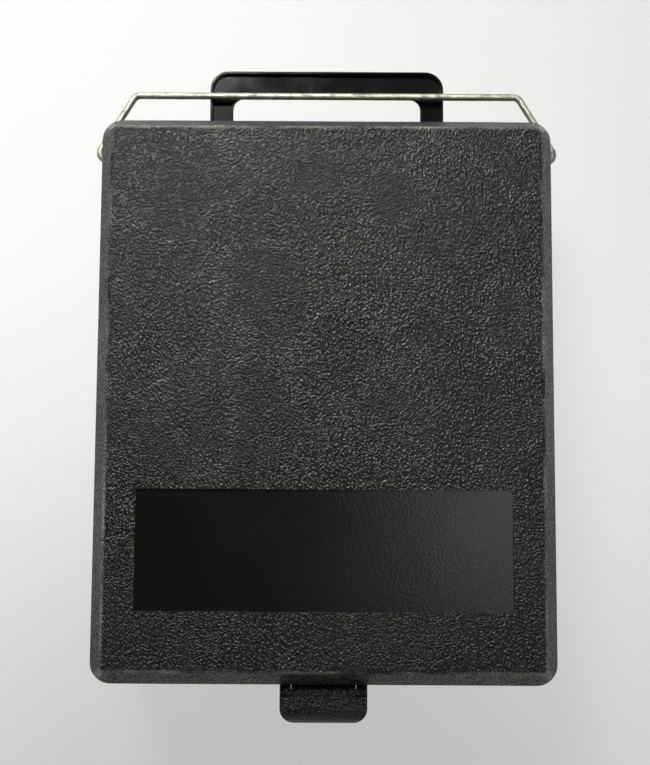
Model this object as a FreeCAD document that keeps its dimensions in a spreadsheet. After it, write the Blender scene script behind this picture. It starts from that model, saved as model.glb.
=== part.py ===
"""Portable valve tester in a moulded carrying case: the case, its fittings and the works inside.

Frame: millimetres, +Z up. The case lies on its back with the lid upward, as it is used. The origin is
the middle of the flat underside. +Y points to the handle and the hinges, -Y to the latch.
"""
import FreeCAD
import Part
import math
import os
import re

# Driving sizes in millimetres and degrees, one line each
SIZES = {
    # Case outline and shells
    "case_width": 224.0,
    "case_length": 277.0,
    "case_corner": 10.0,
    "base_height": 74.0,
    "base_inset": 2.5,
    "base_corner": 14.0,
    "base_edge_round": 4.0,
    "wall": 3.0,
    "flange_height": 4.0,
    "parting_gap": 0.2,
    "lid_rim": 10.8,
    "lid_rise": 14.0,
    "lid_slope_run": 7.0,
    "lid_crease_round": 2.4,
    "recess_width": 179.5,
    "recess_length": 57.7,
    "recess_corner": 2.0,
    "recess_depth": 1.4,
    "recess_y": -74.7,
    # Lid hinges
    "hinge_x": 72.0,
    "hinge_out": 0.4,
    "hinge_barrel_radius": 3.0,
    "hinge_pin_radius": 1.5,
    "hinge_lid_lug": 14.0,
    "hinge_base_lug": 8.0,
    "hinge_side_gap": 0.3,
    "hinge_notch_gap": 0.5,
    "running_gap": 0.05,
    "press_gap": 0.02,
    # Latch
    "latch_width": 42.0,
    "latch_reach": 19.3,
    "latch_axis_out": 4.0,
    "latch_axis_up": 5.4,
    "latch_barrel_radius": 3.7,
    "latch_barrel_length": 31.0,
    "latch_lug_gap": 0.3,
    "latch_neck_up": 1.5,
    "latch_pin_radius": 1.3,
    "latch_nose_round": 9.0,
    "latch_skin": 3.5,
    "latch_drop": 31.5,
    "latch_corner": 8.0,
    "latch_lip_height": 5.0,
    "latch_bite": 1.0,
    "latch_lug_clear": 0.5,
    "latch_cheek": 2.5,
    "latch_cheek_gap": 2.0,
    "keeper_width": 24.0,
    "keeper_height": 6.0,
    "keeper_out": 12.0,
    "keeper_gap": 0.3,
    # Carrying handle
    "handle_opening": 97.9,
    "handle_leg": 12.45,
    "handle_reach": 37.2,
    "handle_bar": 15.5,
    "handle_thick": 15.0,
    "handle_top": 53.0,
    "handle_outer_round": 9.5,
    "handle_inner_round": 5.5,
    "handle_lip": 1.3,
    "handle_channel": 2.6,
    "handle_edge_round": 0.5,
    "handle_inner_draft": 19.0,
    "handle_plate_margin": 3.4,
    "handle_plate_height": 14.0,
    "handle_plate_thick": 1.5,
    "handle_screw_radius": 2.0,
    "handle_screw_grip": 14.0,
    "screw_head_radius": 3.6,
    "screw_head_height": 2.2,
    "screw_slot_width": 0.9,
    "screw_slot_depth": 1.1,
    # Wire bail
    "bail_wire": 3.6,
    "bail_pivot_from_end": 12.1,
    "bail_pivot_out": 12.0,
    "bail_bar_out": 22.8,
    "bail_bar_half": 100.3,
    "bail_bend": 4.0,
    "bail_rest_gap": 0.3,
    "bail_end_in": 5.5,
    "bail_boss_radius": 6.5,
    "bail_boss_out": 0.7,
    "bail_bush_wall": 1.2,
    "bail_bush_flange": 0.8,
    # Instrument panel
    "panel_drop": 8.0,
    "panel_thick": 1.6,
    "panel_gap": 0.5,
    "post_radius": 5.0,
    "post_inset": 10.0,
    "post_middle_y": 10.5,
    "panel_screw_radius": 1.75,
    "panel_screw_length": 10.0,
    # Meter
    "meter_x": -46.0,
    "meter_from_end": 56.5,
    "meter_width": 92.0,
    "meter_length": 78.0,
    "meter_height": 14.0,
    "meter_corner": 5.0,
    "meter_frame": 6.0,
    "meter_seat": 2.5,
    "meter_barrel_radius": 32.0,
    "meter_barrel_depth": 32.0,
    "meter_wall": 2.5,
    "meter_dial_thick": 0.8,
    "meter_lens_thick": 2.0,
    "meter_hub_y": -24.0,
    "meter_hub_radius": 3.0,
    "meter_hub_height": 3.0,
    "meter_spindle_radius": 0.8,
    "needle_length": 44.0,
    "needle_width": 1.0,
    "needle_thick": 0.5,
    "needle_rest_angle": 45.0,
    "meter_fit": 0.1,
    "meter_floor": 2.0,
    # Selector switches
    "selector_from_end": 148.5,
    "selector_pitch": 50.0,
    "knob_radius": 15.0,
    "knob_height": 15.0,
    "knob_skirt": 3.0,
    "knob_grip_radius": 10.5,
    "knob_gap": 0.8,
    "shaft_radius": 3.0,
    "shaft_below": 4.0,
    "bush_radius": 4.7,
    "bush_above": 4.6,
    "nut_radius": 7.0,
    "nut_height": 2.2,
    "selector_radius": 17.0,
    "selector_depth": 26.0,
    # Slide switches
    "slider_y": -62.0,
    "slider_pitch": 30.0,
    "slider_travel": 4.0,
    "slider_stem": 4.0,
    "slider_above": 6.0,
    "slider_foot_length": 8.0,
    "slider_foot_width": 6.0,
    "slider_foot_height": 2.5,
    "slider_gap": 0.3,
    "slider_frame_wall": 4.0,
    "slider_frame_depth": 9.0,
    "slider_cavity_depth": 3.2,
    # Push buttons
    "button_from_end": 34.5,
    "button_x": 20.0,
    "button_radius": 4.5,
    "button_head_radius": 6.5,
    "button_head_height": 4.0,
    "button_travel": 3.0,
    "button_bush_radius": 7.5,
    "button_bush_height": 3.0,
    "button_barrel_radius": 6.0,
    "button_barrel_depth": 8.0,
    "button_block_side": 16.0,
    "button_block_depth": 12.0,
    "button_top_gap": 0.6,
    # Power switch
    "toggle_from_side": 27.0,
    "toggle_bush_radius": 6.0,
    "toggle_bush_bore": 4.0,
    "toggle_bush_height": 8.0,
    "toggle_pivot_up": 4.0,
    "toggle_ball_radius": 3.3,
    "toggle_root_radius": 1.7,
    "toggle_tip_radius": 2.6,
    "toggle_length": 17.0,
    "toggle_tilt": 14.0,
    "toggle_body_side": 16.0,
    "toggle_body_depth": 22.0,
    # Lamps
    "lamp_from_side": 57.0,
    "lamp_bezel_radius": 7.0,
    "lamp_bezel_height": 3.0,
    "lamp_tube_radius": 5.5,
    "lamp_tube_depth": 22.0,
    "lamp_bore": 4.5,
    "lamp_lens_radius": 4.4,
    # Power inlet
    "inlet_from_side": 27.0,
    "inlet_width": 30.0,
    "inlet_length": 24.0,
    "inlet_flange": 2.0,
    "inlet_wall": 3.0,
    "inlet_depth": 20.0,
    "inlet_lip": 2.0,
    "inlet_pin_radius": 1.2,
    "inlet_pin_pitch": 10.0,
    "inlet_pin_length": 12.0,
    # Valve sockets
    "socket_left_x": 34.0,
    "socket_right_x": 77.0,
    "socket_from_end": 32.5,
    "socket_pitch": 37.0,
    "socket_flange": 3.0,
    "socket_depth": 12.0,
    "socket_lip": 2.5,
    "octal_radius": 16.0,
    "octal_circle": 8.73,
    "octal_pin": 1.3,
    "octal_key": 4.0,
    "loctal_radius": 15.5,
    "loctal_circle": 8.73,
    "loctal_pin": 0.8,
    "loctal_key": 3.4,
    "noval_radius": 12.5,
    "noval_circle": 5.94,
    "noval_pin": 0.65,
    "noval_key": 1.6,
    "miniature_radius": 11.0,
    "miniature_circle": 4.76,
    "miniature_pin": 0.65,
    "miniature_key": 1.4,
    "twelve_radius": 16.5,
    "twelve_circle": 9.53,
    "twelve_pin": 0.7,
    "twelve_key": 4.0,
    "straightener_x": 72.0,
    "straightener_radius": 8.5,
    "straightener_height": 8.0,
    "straightener_spread": 10.5,
    # Transformer
    "transformer_x": 52.0,
    "transformer_y": -63.0,
    "core_width": 60.0,
    "core_thick": 22.0,
    "core_height": 46.0,
    "coil_width": 36.0,
    "coil_length": 44.0,
    "coil_height": 28.0,
    "bracket_width": 84.0,
    "bracket_thick": 1.5,
    # Circuit board
    "board_x": -48.0,
    "board_y": -66.0,
    "board_width": 92.0,
    "board_length": 58.0,
    "board_thick": 1.6,
    "board_up": 8.0,
    "standoff_radius": 3.5,
    "standoff_inset": 5.0,
    "capacitor_radius": 8.0,
    "capacitor_height": 26.0,
    "capacitor_pitch": 22.0,
    "resistor_radius": 2.2,
    "resistor_length": 12.0,
    "resistor_pitch": 7.0,
}

# Places worked out from the driving sizes, as expressions
LID_BOTTOM = "(base_height + parting_gap)"
OUTLINE_Z = f"({LID_BOTTOM} + lid_rim)"
FACE_Z = f"({OUTLINE_Z} + lid_rise)"
BASE_WIDTH = "(case_width - 2*base_inset)"
BASE_LENGTH = "(case_length - 2*base_inset)"
BASE_SIDE = f"({BASE_WIDTH}/2)"
BASE_END = f"({BASE_LENGTH}/2)"
PANEL_TOP = "(base_height - panel_drop)"
PANEL_UNDER = f"({PANEL_TOP} - panel_thick)"
HINGE_Y = "(case_length/2 + hinge_out)"
LATCH_Y = "(-case_length/2 - latch_axis_out)"
LATCH_Z = f"({LID_BOTTOM} + latch_axis_up)"
LATCH_FRONT = "(-case_length/2 - latch_reach)"
LATCH_FOOT = f"({LATCH_Z} - latch_drop)"
BAIL_Y = "(case_length/2 - bail_pivot_from_end)"
BAIL_BOSS_END = f"({BASE_SIDE} + bail_boss_out)"
BAIL_Z = "(handle_top + bail_rest_gap + bail_wire/2)"
HANDLE_Z = "(handle_top - handle_thick/2)"
HANDLE_WIDTH = "(handle_opening + 2*handle_leg)"
HANDLE_LEG_X = "(handle_opening/2 + handle_leg/2)"
POST_X = f"({BASE_SIDE} - wall - post_inset)"
POST_Y = f"({BASE_END} - wall - post_inset)"
METER_Y = "(case_length/2 - meter_from_end)"
SELECTOR_Y = "(case_length/2 - selector_from_end)"
BUTTON_Y = "(button_from_end - case_length/2)"
TOGGLE_X = "(toggle_from_side - case_width/2)"
LAMP_SIDE_X = "(case_width/2 - lamp_from_side)"
INLET_X = "(case_width/2 - inlet_from_side)"
SOCKET_TOP_Y = "(case_length/2 - socket_from_end)"
METER_FLOOR = f"({PANEL_TOP} + meter_floor)"
METER_RIM = f"({PANEL_TOP} + meter_height)"
LENS_Z = f"({METER_RIM} - meter_lens_thick - meter_fit)"
BOARD_Z = "(wall + board_up)"

doc = FreeCAD.newDocument("ValveTester")
sheet = doc.addObject("Spreadsheet::Sheet", "Sizes")
for row, (alias, value) in enumerate(SIZES.items(), 1):
    sheet.set(f"A{row}", alias)
    sheet.set(f"B{row}", str(value))
    sheet.setAlias(f"B{row}", alias)
doc.recompute()

NODES = []
WORD = re.compile(r"[a-z_]+[a-z0-9_]*")


def bound(expression):
    """The expression with the sheet's name before each of its aliases."""
    return WORD.sub(lambda found: "Sizes." * (found.group(0) in SIZES) + found.group(0), str(expression))


def size(expression):
    """The value of an expression on the sheet, in millimetres or degrees."""
    return float(sheet.evalExpression(bound(expression)))


def bind(item, **properties):
    for name, expression in properties.items():
        item.setExpression(name, bound(expression))


def put(item, x, y, z):
    for axis, expression in zip("xyz", (x, y, z)):
        item.setExpression(f"Placement.Base.{axis}", bound(expression))
    return item


def box(name, sides, centre, bottom):
    """A block given by its three sides, its centre in X and Y, and its lowest Z."""
    item = doc.addObject("Part::Box", name)
    bind(item, Length=sides[0], Width=sides[1], Height=sides[2])
    return put(item, f"{centre[0]} - ({sides[0]})/2", f"{centre[1]} - ({sides[1]})/2", bottom)


TURNS = {
    "X": FreeCAD.Rotation(FreeCAD.Vector(0, 1, 0), 90),
    "Y": FreeCAD.Rotation(FreeCAD.Vector(1, 0, 0), -90),
    "Z": FreeCAD.Rotation(),
}


def rod(name, radius, length, start, axis="Z"):
    """A cylinder from a start point along +X, +Y or +Z."""
    item = doc.addObject("Part::Cylinder", name)
    item.Placement = FreeCAD.Placement(FreeCAD.Vector(), TURNS[axis])
    bind(item, Radius=radius, Height=length)
    return put(item, *start)


def middle_rod(name, radius, length, centre, axis):
    """A cylinder along +X or +Y, given by its middle point."""
    start = list(centre)
    place = "XY".index(axis)
    start[place] = f"{start[place]} - ({length})/2"
    return rod(name, radius, length, start, axis)


def fuse(name, items):
    item = doc.addObject("Part::MultiFuse", name)
    item.Shapes = items
    item.Refine = True
    return item


def cut(name, base, tools):
    item = doc.addObject("Part::Cut", name)
    item.Base = base
    item.Tool = tools[0] if len(tools) == 1 else fuse(name + "Tools", tools)
    item.Refine = True
    return item


def common(name, first, second):
    item = doc.addObject("Part::Common", name)
    item.Base = first
    item.Tool = second
    item.Refine = True
    return item


def group(name, items):
    item = doc.addObject("Part::Compound", name)
    item.Links = items
    return item


def node(item, label):
    """Keep a finished object as the sub-part of that name."""
    item.Label = label
    NODES.append(item)
    return item


def plane(body, role):
    return next(item for item in body.Origin.OriginFeatures if item.Role == role)


def rounded_sketch(body, name, width, length, radius, x="0", y="0", z="0"):
    """A rectangle with rounded corners on the body's XY plane, centred on (x, y) at height z."""
    sketch = body.newObject("Sketcher::SketchObject", name)
    sketch.AttachmentSupport = [(plane(body, "XY_Plane"), "")]
    sketch.MapMode = "FlatFace"
    for axis, expression in zip("xyz", (x, y, z)):
        sketch.setExpression(f"AttachmentOffset.Base.{axis}", bound(expression))
    half_x, half_y, turn = size(width) / 2, size(length) / 2, size(radius)
    flat_x, flat_y = half_x - turn, half_y - turn
    corners = [(flat_x, flat_y, 0), (-flat_x, flat_y, 90), (-flat_x, -flat_y, 180), (flat_x, -flat_y, 270)]
    sides = [
        ((flat_x, half_y), (-flat_x, half_y)),
        ((-half_x, flat_y), (-half_x, -flat_y)),
        ((-flat_x, -half_y), (flat_x, -half_y)),
        ((half_x, -flat_y), (half_x, flat_y)),
    ]
    for (mid_x, mid_y, begin), (first, last) in zip(corners, sides):
        circle = Part.Circle(FreeCAD.Vector(mid_x, mid_y), FreeCAD.Vector(0, 0, 1), turn)
        sketch.addGeometry(Part.ArcOfCircle(circle, math.radians(begin), math.radians(begin + 90)))
        sketch.addGeometry(Part.LineSegment(FreeCAD.Vector(*first), FreeCAD.Vector(*last)))
    add_corner_constraints(sketch, width, length, radius)
    return sketch


def add_corner_constraints(sketch, width, length, radius):
    """Tie the four arcs and sides together and bind the three sizes."""
    import Sketcher

    pieces = 8
    for piece in range(pieces):
        sketch.addConstraint(Sketcher.Constraint("Tangent", piece, 2, (piece + 1) % pieces, 1))
    sketch.addConstraint(Sketcher.Constraint("Horizontal", 1))
    sketch.addConstraint(Sketcher.Constraint("Vertical", 3))
    sketch.addConstraint(Sketcher.Constraint("Horizontal", 5))
    sketch.addConstraint(Sketcher.Constraint("Vertical", 7))
    for arc in (2, 4, 6):
        sketch.addConstraint(Sketcher.Constraint("Equal", 0, arc))
    turn = sketch.addConstraint(Sketcher.Constraint("Radius", 0, size(radius)))
    half_x, half_y = size(width) / 2, size(length) / 2
    right = sketch.addConstraint(Sketcher.Constraint("DistanceX", -1, 1, 7, 1, half_x))
    left = sketch.addConstraint(Sketcher.Constraint("DistanceX", 3, 1, -1, 1, half_x))
    upper = sketch.addConstraint(Sketcher.Constraint("DistanceY", -1, 1, 1, 1, half_y))
    lower = sketch.addConstraint(Sketcher.Constraint("DistanceY", 5, 1, -1, 1, half_y))
    sketch.setExpression(f"Constraints[{turn}]", bound(radius))
    for constraint, whole in ((right, width), (left, width), (upper, length), (lower, length)):
        sketch.setExpression(f"Constraints[{constraint}]", bound(f"({whole})/2"))


def pad(body, name, sketch, height, taper="0"):
    feature = body.newObject("PartDesign::Pad", name)
    feature.Profile = sketch
    bind(feature, Length=height, TaperAngle=taper)
    return feature


def pocket(body, name, sketch, depth, upward=False, taper="0"):
    """Cut a sketch's outline downward, or upward, into the body's solid."""
    doc.recompute()
    before = body.Shape.Volume
    feature = body.newObject("PartDesign::Pocket", name)
    feature.Profile = sketch
    feature.Reversed = upward
    bind(feature, Length=depth, TaperAngle=taper)
    doc.recompute()
    if body.Shape.Volume >= before:
        raise RuntimeError(f"{name} cuts nothing")
    return feature


def round_edges(body, name, radius, wanted):
    """Fillet the edges of the body's last feature that the test picks."""
    doc.recompute()
    base = body.Tip
    names = [f"Edge{index}" for index, edge in enumerate(base.Shape.Edges, 1) if wanted(edge)]
    feature = body.newObject("PartDesign::Fillet", name)
    feature.Base = (base, names)
    bind(feature, Radius=radius)
    return feature


def level(z):
    """A test for edges that lie flat at height z."""
    height = size(z)

    def wanted(edge):
        bounds = edge.BoundBox
        return abs(bounds.ZMin - height) < 1e-4 and abs(bounds.ZMax - height) < 1e-4

    return wanted


def new_body(name):
    return doc.addObject("PartDesign::Body", name)


def hinge_lugs(name, places, length):
    """Short barrels on the lid hinge's axis, centred on the given X places."""
    return [
        middle_rod(f"{name}{index}", "hinge_barrel_radius", length, (x, HINGE_Y, "base_height"), "X")
        for index, x in enumerate(places)
    ]


def hinge_notches(name, places, length):
    """Room for the other half's barrels, all round them and at both ends."""
    return [
        middle_rod(
            f"{name}{index}",
            "hinge_barrel_radius + hinge_notch_gap",
            f"({length} + 2*hinge_side_gap)",
            (x, HINGE_Y, "base_height"),
            "X",
        )
        for index, x in enumerate(places)
    ]


HINGE_STEP = "((hinge_lid_lug + hinge_base_lug)/2 + hinge_side_gap)"
LID_LUG_X = ["hinge_x", "-hinge_x"]
BASE_LUG_X = [f"({side}hinge_x {step} {HINGE_STEP})" for side in ("", "-") for step in "+-"]
HINGE_LENGTH = "(hinge_lid_lug + 2*hinge_base_lug + 2*hinge_side_gap)"
POSTS = [(f"{a}{POST_X}", f"{b}{POST_Y}") for a in ("", "-") for b in ("", "-")]
POSTS += [(POST_X, "post_middle_y"), (f"-{POST_X}", "post_middle_y")]
SIDES = {"Right": "", "Left": "-"}


def base_shell():
    body = new_body("BaseTub")
    pad(body, "BaseBlock", rounded_sketch(body, "BaseOutline", BASE_WIDTH, BASE_LENGTH, "base_corner"),
        "base_height")
    round_edges(body, "BaseEdgeRound", "base_edge_round", level("0"))
    flange = rounded_sketch(body, "FlangeOutline", "case_width", "case_length", "case_corner",
                            z="base_height - flange_height")
    pad(body, "BaseFlange", flange, "flange_height")
    inside = rounded_sketch(body, "BaseInside", f"({BASE_WIDTH} - 2*wall)", f"({BASE_LENGTH} - 2*wall)",
                            "base_corner - wall", z="base_height")
    pocket(body, "BaseHollow", inside, "base_height - wall")
    added = [body] + hinge_lugs("BaseLug", BASE_LUG_X, "hinge_base_lug")
    for index, (x, y) in enumerate(POSTS):
        added.append(rod(f"Post{index}", "post_radius", f"({PANEL_UNDER} - wall)", (x, y, "wall")))
    for index, (x, y) in enumerate(STANDOFFS):
        added.append(rod(f"Standoff{index}", "standoff_radius", "board_up", (x, y, "wall")))
    boss = "(bail_boss_out + wall)"
    added.append(rod("BailBossRight", "bail_boss_radius", boss,
                     (f"{BASE_SIDE} - wall", BAIL_Y, BAIL_Z), "X"))
    added.append(rod("BailBossLeft", "bail_boss_radius", boss, (f"-{BAIL_BOSS_END}", BAIL_Y, BAIL_Z), "X"))
    holes = hinge_notches("BaseNotch", LID_LUG_X, "hinge_lid_lug")
    for name, x in zip(SIDES, LID_LUG_X):
        holes.append(middle_rod(f"BasePinHole{name}", "hinge_pin_radius + press_gap", HINGE_LENGTH,
                                (x, HINGE_Y, "base_height"), "X"))
    for index, (x, y) in enumerate(POSTS):
        holes.append(rod(f"PostHole{index}", "panel_screw_radius + press_gap", "panel_screw_length",
                         (x, y, f"{PANEL_UNDER} + panel_thick - panel_screw_length")))
    holes.append(middle_rod("BailHole", "bail_wire/2 + running_gap + bail_bush_wall + press_gap",
                            f"2*{BAIL_BOSS_END}", ("0", BAIL_Y, BAIL_Z), "X"))
    for name, side in SIDES.items():
        holes.append(rod(f"HandleHole{name}", "handle_screw_radius + press_gap", "2*wall",
                         (f"{side}{HANDLE_LEG_X}", f"{BASE_END} - 1.5*wall", HANDLE_Z), "Y"))
    return node(cut("BaseShell", fuse("BaseSolid", added), holes), "base_shell")


def latch_lug(name, side):
    """A lug on the lid's front rim that carries one end of the latch pin."""
    length = "((latch_width - latch_barrel_length)/2 - latch_lug_gap)"
    start = "(latch_barrel_length/2 + latch_lug_gap)" if side > 0 else "(-latch_width/2)"
    barrel = rod(f"{name}Barrel", "latch_barrel_radius", length, (start, LATCH_Y, LATCH_Z), "X")
    neck = box(f"{name}Neck", (length, "latch_axis_out + wall/2", "latch_barrel_radius + latch_neck_up"),
               (f"{start} + {length}/2", f"({LATCH_Y} + latch_axis_out/2 + wall/4)"),
               f"{LATCH_Z} - latch_barrel_radius")
    return [barrel, neck]


def lid_shell():
    taper = "atan(lid_slope_run/lid_rise)"
    body = new_body("LidTray")
    rim = rounded_sketch(body, "LidOutline", "case_width", "case_length", "case_corner", z=LID_BOTTOM)
    pad(body, "LidRim", rim, "lid_rim")
    slope = rounded_sketch(body, "LidSlopeOutline", "case_width", "case_length", "case_corner", z=OUTLINE_Z)
    pad(body, "LidSlope", slope, "lid_rise", f"-{taper}")
    round_edges(body, "LidCrease", "lid_crease_round", level(FACE_Z))
    inner = ("(case_width - 2*wall)", "(case_length - 2*wall)", "(case_corner - wall)")
    pocket(body, "LidRimHollow", rounded_sketch(body, "LidInside", *inner, z=LID_BOTTOM), "lid_rim", True)
    narrow = ("(case_width - 2*wall - lid_slope_run)", "(case_length - 2*wall - lid_slope_run)", "wall")
    upper = rounded_sketch(body, "LidInsideUpper", *narrow, z=OUTLINE_Z)
    pocket(body, "LidUpperHollow", upper, "lid_rise - wall", True, "-atan(lid_slope_run/2/lid_rise)")
    recess = rounded_sketch(body, "RecessOutline", "recess_width", "recess_length", "recess_corner",
                            y="recess_y", z=FACE_Z)
    pocket(body, "LidRecess", recess, "recess_depth")
    added = [body] + hinge_lugs("LidLug", LID_LUG_X, "hinge_lid_lug")
    added += latch_lug("LatchLugRight", 1) + latch_lug("LatchLugLeft", -1)
    holes = hinge_notches("LidNotch", BASE_LUG_X, "hinge_base_lug")
    for name, x in zip(SIDES, LID_LUG_X):
        holes.append(middle_rod(f"LidPinHole{name}", "hinge_pin_radius + running_gap", HINGE_LENGTH,
                                (x, HINGE_Y, "base_height"), "X"))
    holes.append(middle_rod("LatchPinHole", "latch_pin_radius + press_gap", "2*latch_width",
                            ("0", LATCH_Y, LATCH_Z), "X"))
    return node(cut("LidShell", fuse("LidSolid", added), holes), "lid_shell")


def hinge_pins():
    pins = [
        middle_rod(f"HingePin{name}", "hinge_pin_radius", HINGE_LENGTH, (x, HINGE_Y, "base_height"), "X")
        for name, x in zip(SIDES, LID_LUG_X)
    ]
    return node(group("HingePins", pins), "hinge_pins")


def latch():
    """The hasp: a barrel on the pin, a rounded nose, a front plate and a lip that bites the keeper."""
    nose_y = f"({LATCH_FRONT} + latch_nose_round)"
    nose_z = f"({LATCH_Z} + latch_barrel_radius - latch_nose_round)"
    width = "latch_width"
    barrel = middle_rod("LatchBarrel", "latch_barrel_radius", "latch_barrel_length",
                        ("0", LATCH_Y, LATCH_Z), "X")
    top_length = f"({LATCH_Y} - {nose_y})"
    top = box("LatchTop", (width, top_length, "latch_skin"), ("0", f"({LATCH_Y} - {top_length}/2)"),
              f"{LATCH_Z} + latch_barrel_radius - latch_skin")
    nose = cut("LatchNoseRing",
               middle_rod("LatchNose", "latch_nose_round", width, ("0", nose_y, nose_z), "X"),
               [middle_rod("LatchNoseBore", "latch_nose_round - latch_skin", f"2*{width}",
                           ("0", nose_y, nose_z), "X")])
    quarter = box("LatchNoseQuarter", (width, "latch_nose_round", "latch_nose_round"),
                  ("0", f"({nose_y} - latch_nose_round/2)"), nose_z)
    front_height = f"({nose_z} - {LATCH_FOOT})"
    front = box("LatchPlate", (width, "latch_skin", front_height),
                ("0", f"({LATCH_FRONT} + latch_skin/2)"), LATCH_FOOT)
    lip_length = "(latch_reach + base_inset - keeper_out + latch_bite)"
    lip = box("LatchLip", (width, lip_length, "latch_lip_height"),
              ("0", f"({LATCH_FRONT} + {lip_length}/2)"), LATCH_FOOT)
    cheek_length = "(latch_reach - latch_cheek_gap)"
    cheeks = [
        box(f"LatchCheek{name}", ("latch_cheek", cheek_length, front_height),
            (f"{side}(latch_width - latch_cheek)/2", f"({LATCH_FRONT} + {cheek_length}/2)"), LATCH_FOOT)
        for name, side in SIDES.items()
    ]
    round_cheeks = [
        common(f"LatchCheekBend{name}",
               rod(f"LatchCheekDisc{name}", "latch_nose_round", "latch_cheek",
                   ("latch_width/2 - latch_cheek" if side == "" else "-latch_width/2", nose_y, nose_z), "X"),
               quarter)
        for name, side in SIDES.items()
    ]
    bend = common("LatchNoseBend", nose, quarter)
    whole = fuse("LatchForm", [barrel, top, bend, front, lip] + cheeks + round_cheeks)
    outline = new_body("LatchPlan")
    plan_length = "(2*latch_reach)"
    sketch = rounded_sketch(outline, "LatchPlanOutline", width, plan_length, "latch_corner",
                            y=f"{LATCH_FRONT} + {plan_length}/2", z=f"{LATCH_FOOT} - wall")
    pad(outline, "LatchPlanBlock", sketch, "latch_drop + 2*latch_nose_round")
    holes = [middle_rod("LatchBore", "latch_pin_radius + running_gap", f"2*{width}",
                        ("0", LATCH_Y, LATCH_Z), "X")]
    relief = "(latch_barrel_radius + latch_lug_clear)"
    reliefs = {"Right": "latch_barrel_length/2", "Left": "(-latch_barrel_length/2 - latch_width)"}
    for name, start in reliefs.items():
        holes.append(rod(f"LatchRelief{name}", relief, width, (start, LATCH_Y, LATCH_Z), "X"))
    return node(cut("Latch", common("LatchRounded", whole, outline), holes), "latch")


def latch_fittings():
    node(middle_rod("LatchPin", "latch_pin_radius", "latch_width", ("0", LATCH_Y, LATCH_Z), "X"), "latch_pin")
    keeper = box("Keeper", ("keeper_width", "keeper_out", "keeper_height"),
                 ("0", f"(-{BASE_END} - keeper_out/2)"), f"{LATCH_FOOT} + latch_lip_height + keeper_gap")
    node(keeper, "latch_keeper")


def handle():
    """A moulded U with a shallow channel along its upper face."""
    far = "(case_length/2 + handle_reach)"
    depth = f"({far} - {BASE_END})"
    body = new_body("HandleBody")
    outer = rounded_sketch(body, "HandleOutline", HANDLE_WIDTH, f"2*{depth}", "handle_outer_round",
                           y=BASE_END, z="handle_top - handle_thick")
    pad(body, "HandleBlock", outer, "handle_thick")
    opening = rounded_sketch(body, "HandleOpening", "handle_opening", f"2*({depth} - handle_bar)",
                             "handle_inner_round", y=BASE_END, z="handle_top")
    pocket(body, "HandleHole", opening, "handle_thick", taper="handle_inner_draft")
    round_edges(body, "HandleEdges", "handle_edge_round", level("handle_top"))
    channel = new_body("HandleChannel")
    floor = "handle_top - handle_channel"
    wide = rounded_sketch(channel, "ChannelOutline", f"{HANDLE_WIDTH} - 2*handle_lip",
                          f"2*({depth} - handle_lip)", "handle_outer_round - handle_lip", y=BASE_END, z=floor)
    pad(channel, "ChannelBlock", wide, "2*handle_channel")
    narrow = rounded_sketch(channel, "ChannelInner", "handle_opening + 2*handle_lip",
                            f"2*({depth} - handle_bar + handle_lip)", "handle_inner_round + handle_lip",
                            y=BASE_END, z="handle_top + handle_channel")
    pocket(channel, "ChannelHole", narrow, "2*handle_channel")
    inside = box("HandleInside", (f"2*{HANDLE_WIDTH}", f"2*{depth}", "2*handle_thick"),
                 ("0", f"({BASE_END} - {depth})"), "handle_top - 1.5*handle_thick")
    holes = [channel, inside]
    for name, side in SIDES.items():
        holes.append(rod(f"HandleScrewHole{name}", "handle_screw_radius + press_gap", "handle_screw_grip",
                         (f"{side}{HANDLE_LEG_X}", BASE_END, HANDLE_Z), "Y"))
    return node(cut("Handle", body, holes), "handle")


def handle_fixings():
    plate_y = f"({BASE_END} - wall - handle_plate_thick/2)"
    plate_width = f"({HANDLE_WIDTH} - 2*handle_plate_margin)"
    plate = box("HandlePlate", (plate_width, "handle_plate_thick", "handle_plate_height"),
                ("0", plate_y), f"{HANDLE_Z} - handle_plate_height/2")
    holes, screws = [], []
    inner = f"({BASE_END} - wall - handle_plate_thick)"
    for name, side in SIDES.items():
        x = f"{side}{HANDLE_LEG_X}"
        holes.append(rod(f"PlateHole{name}", "handle_screw_radius + press_gap", "2*wall",
                         (x, f"{inner} - wall/2", HANDLE_Z), "Y"))
        stem = rod(f"HandleScrewStem{name}", "handle_screw_radius", "handle_plate_thick + handle_screw_grip",
                   (x, inner, HANDLE_Z), "Y")
        head = rod(f"HandleScrewHead{name}", "screw_head_radius", "screw_head_height",
                   (x, f"{inner} - screw_head_height", HANDLE_Z), "Y")
        screws.append(fuse(f"HandleScrew{name}", [stem, head]))
    node(cut("HandleBacking", plate, holes), "handle_plate")
    node(group("HandleScrews", screws), "handle_screws")


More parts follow.
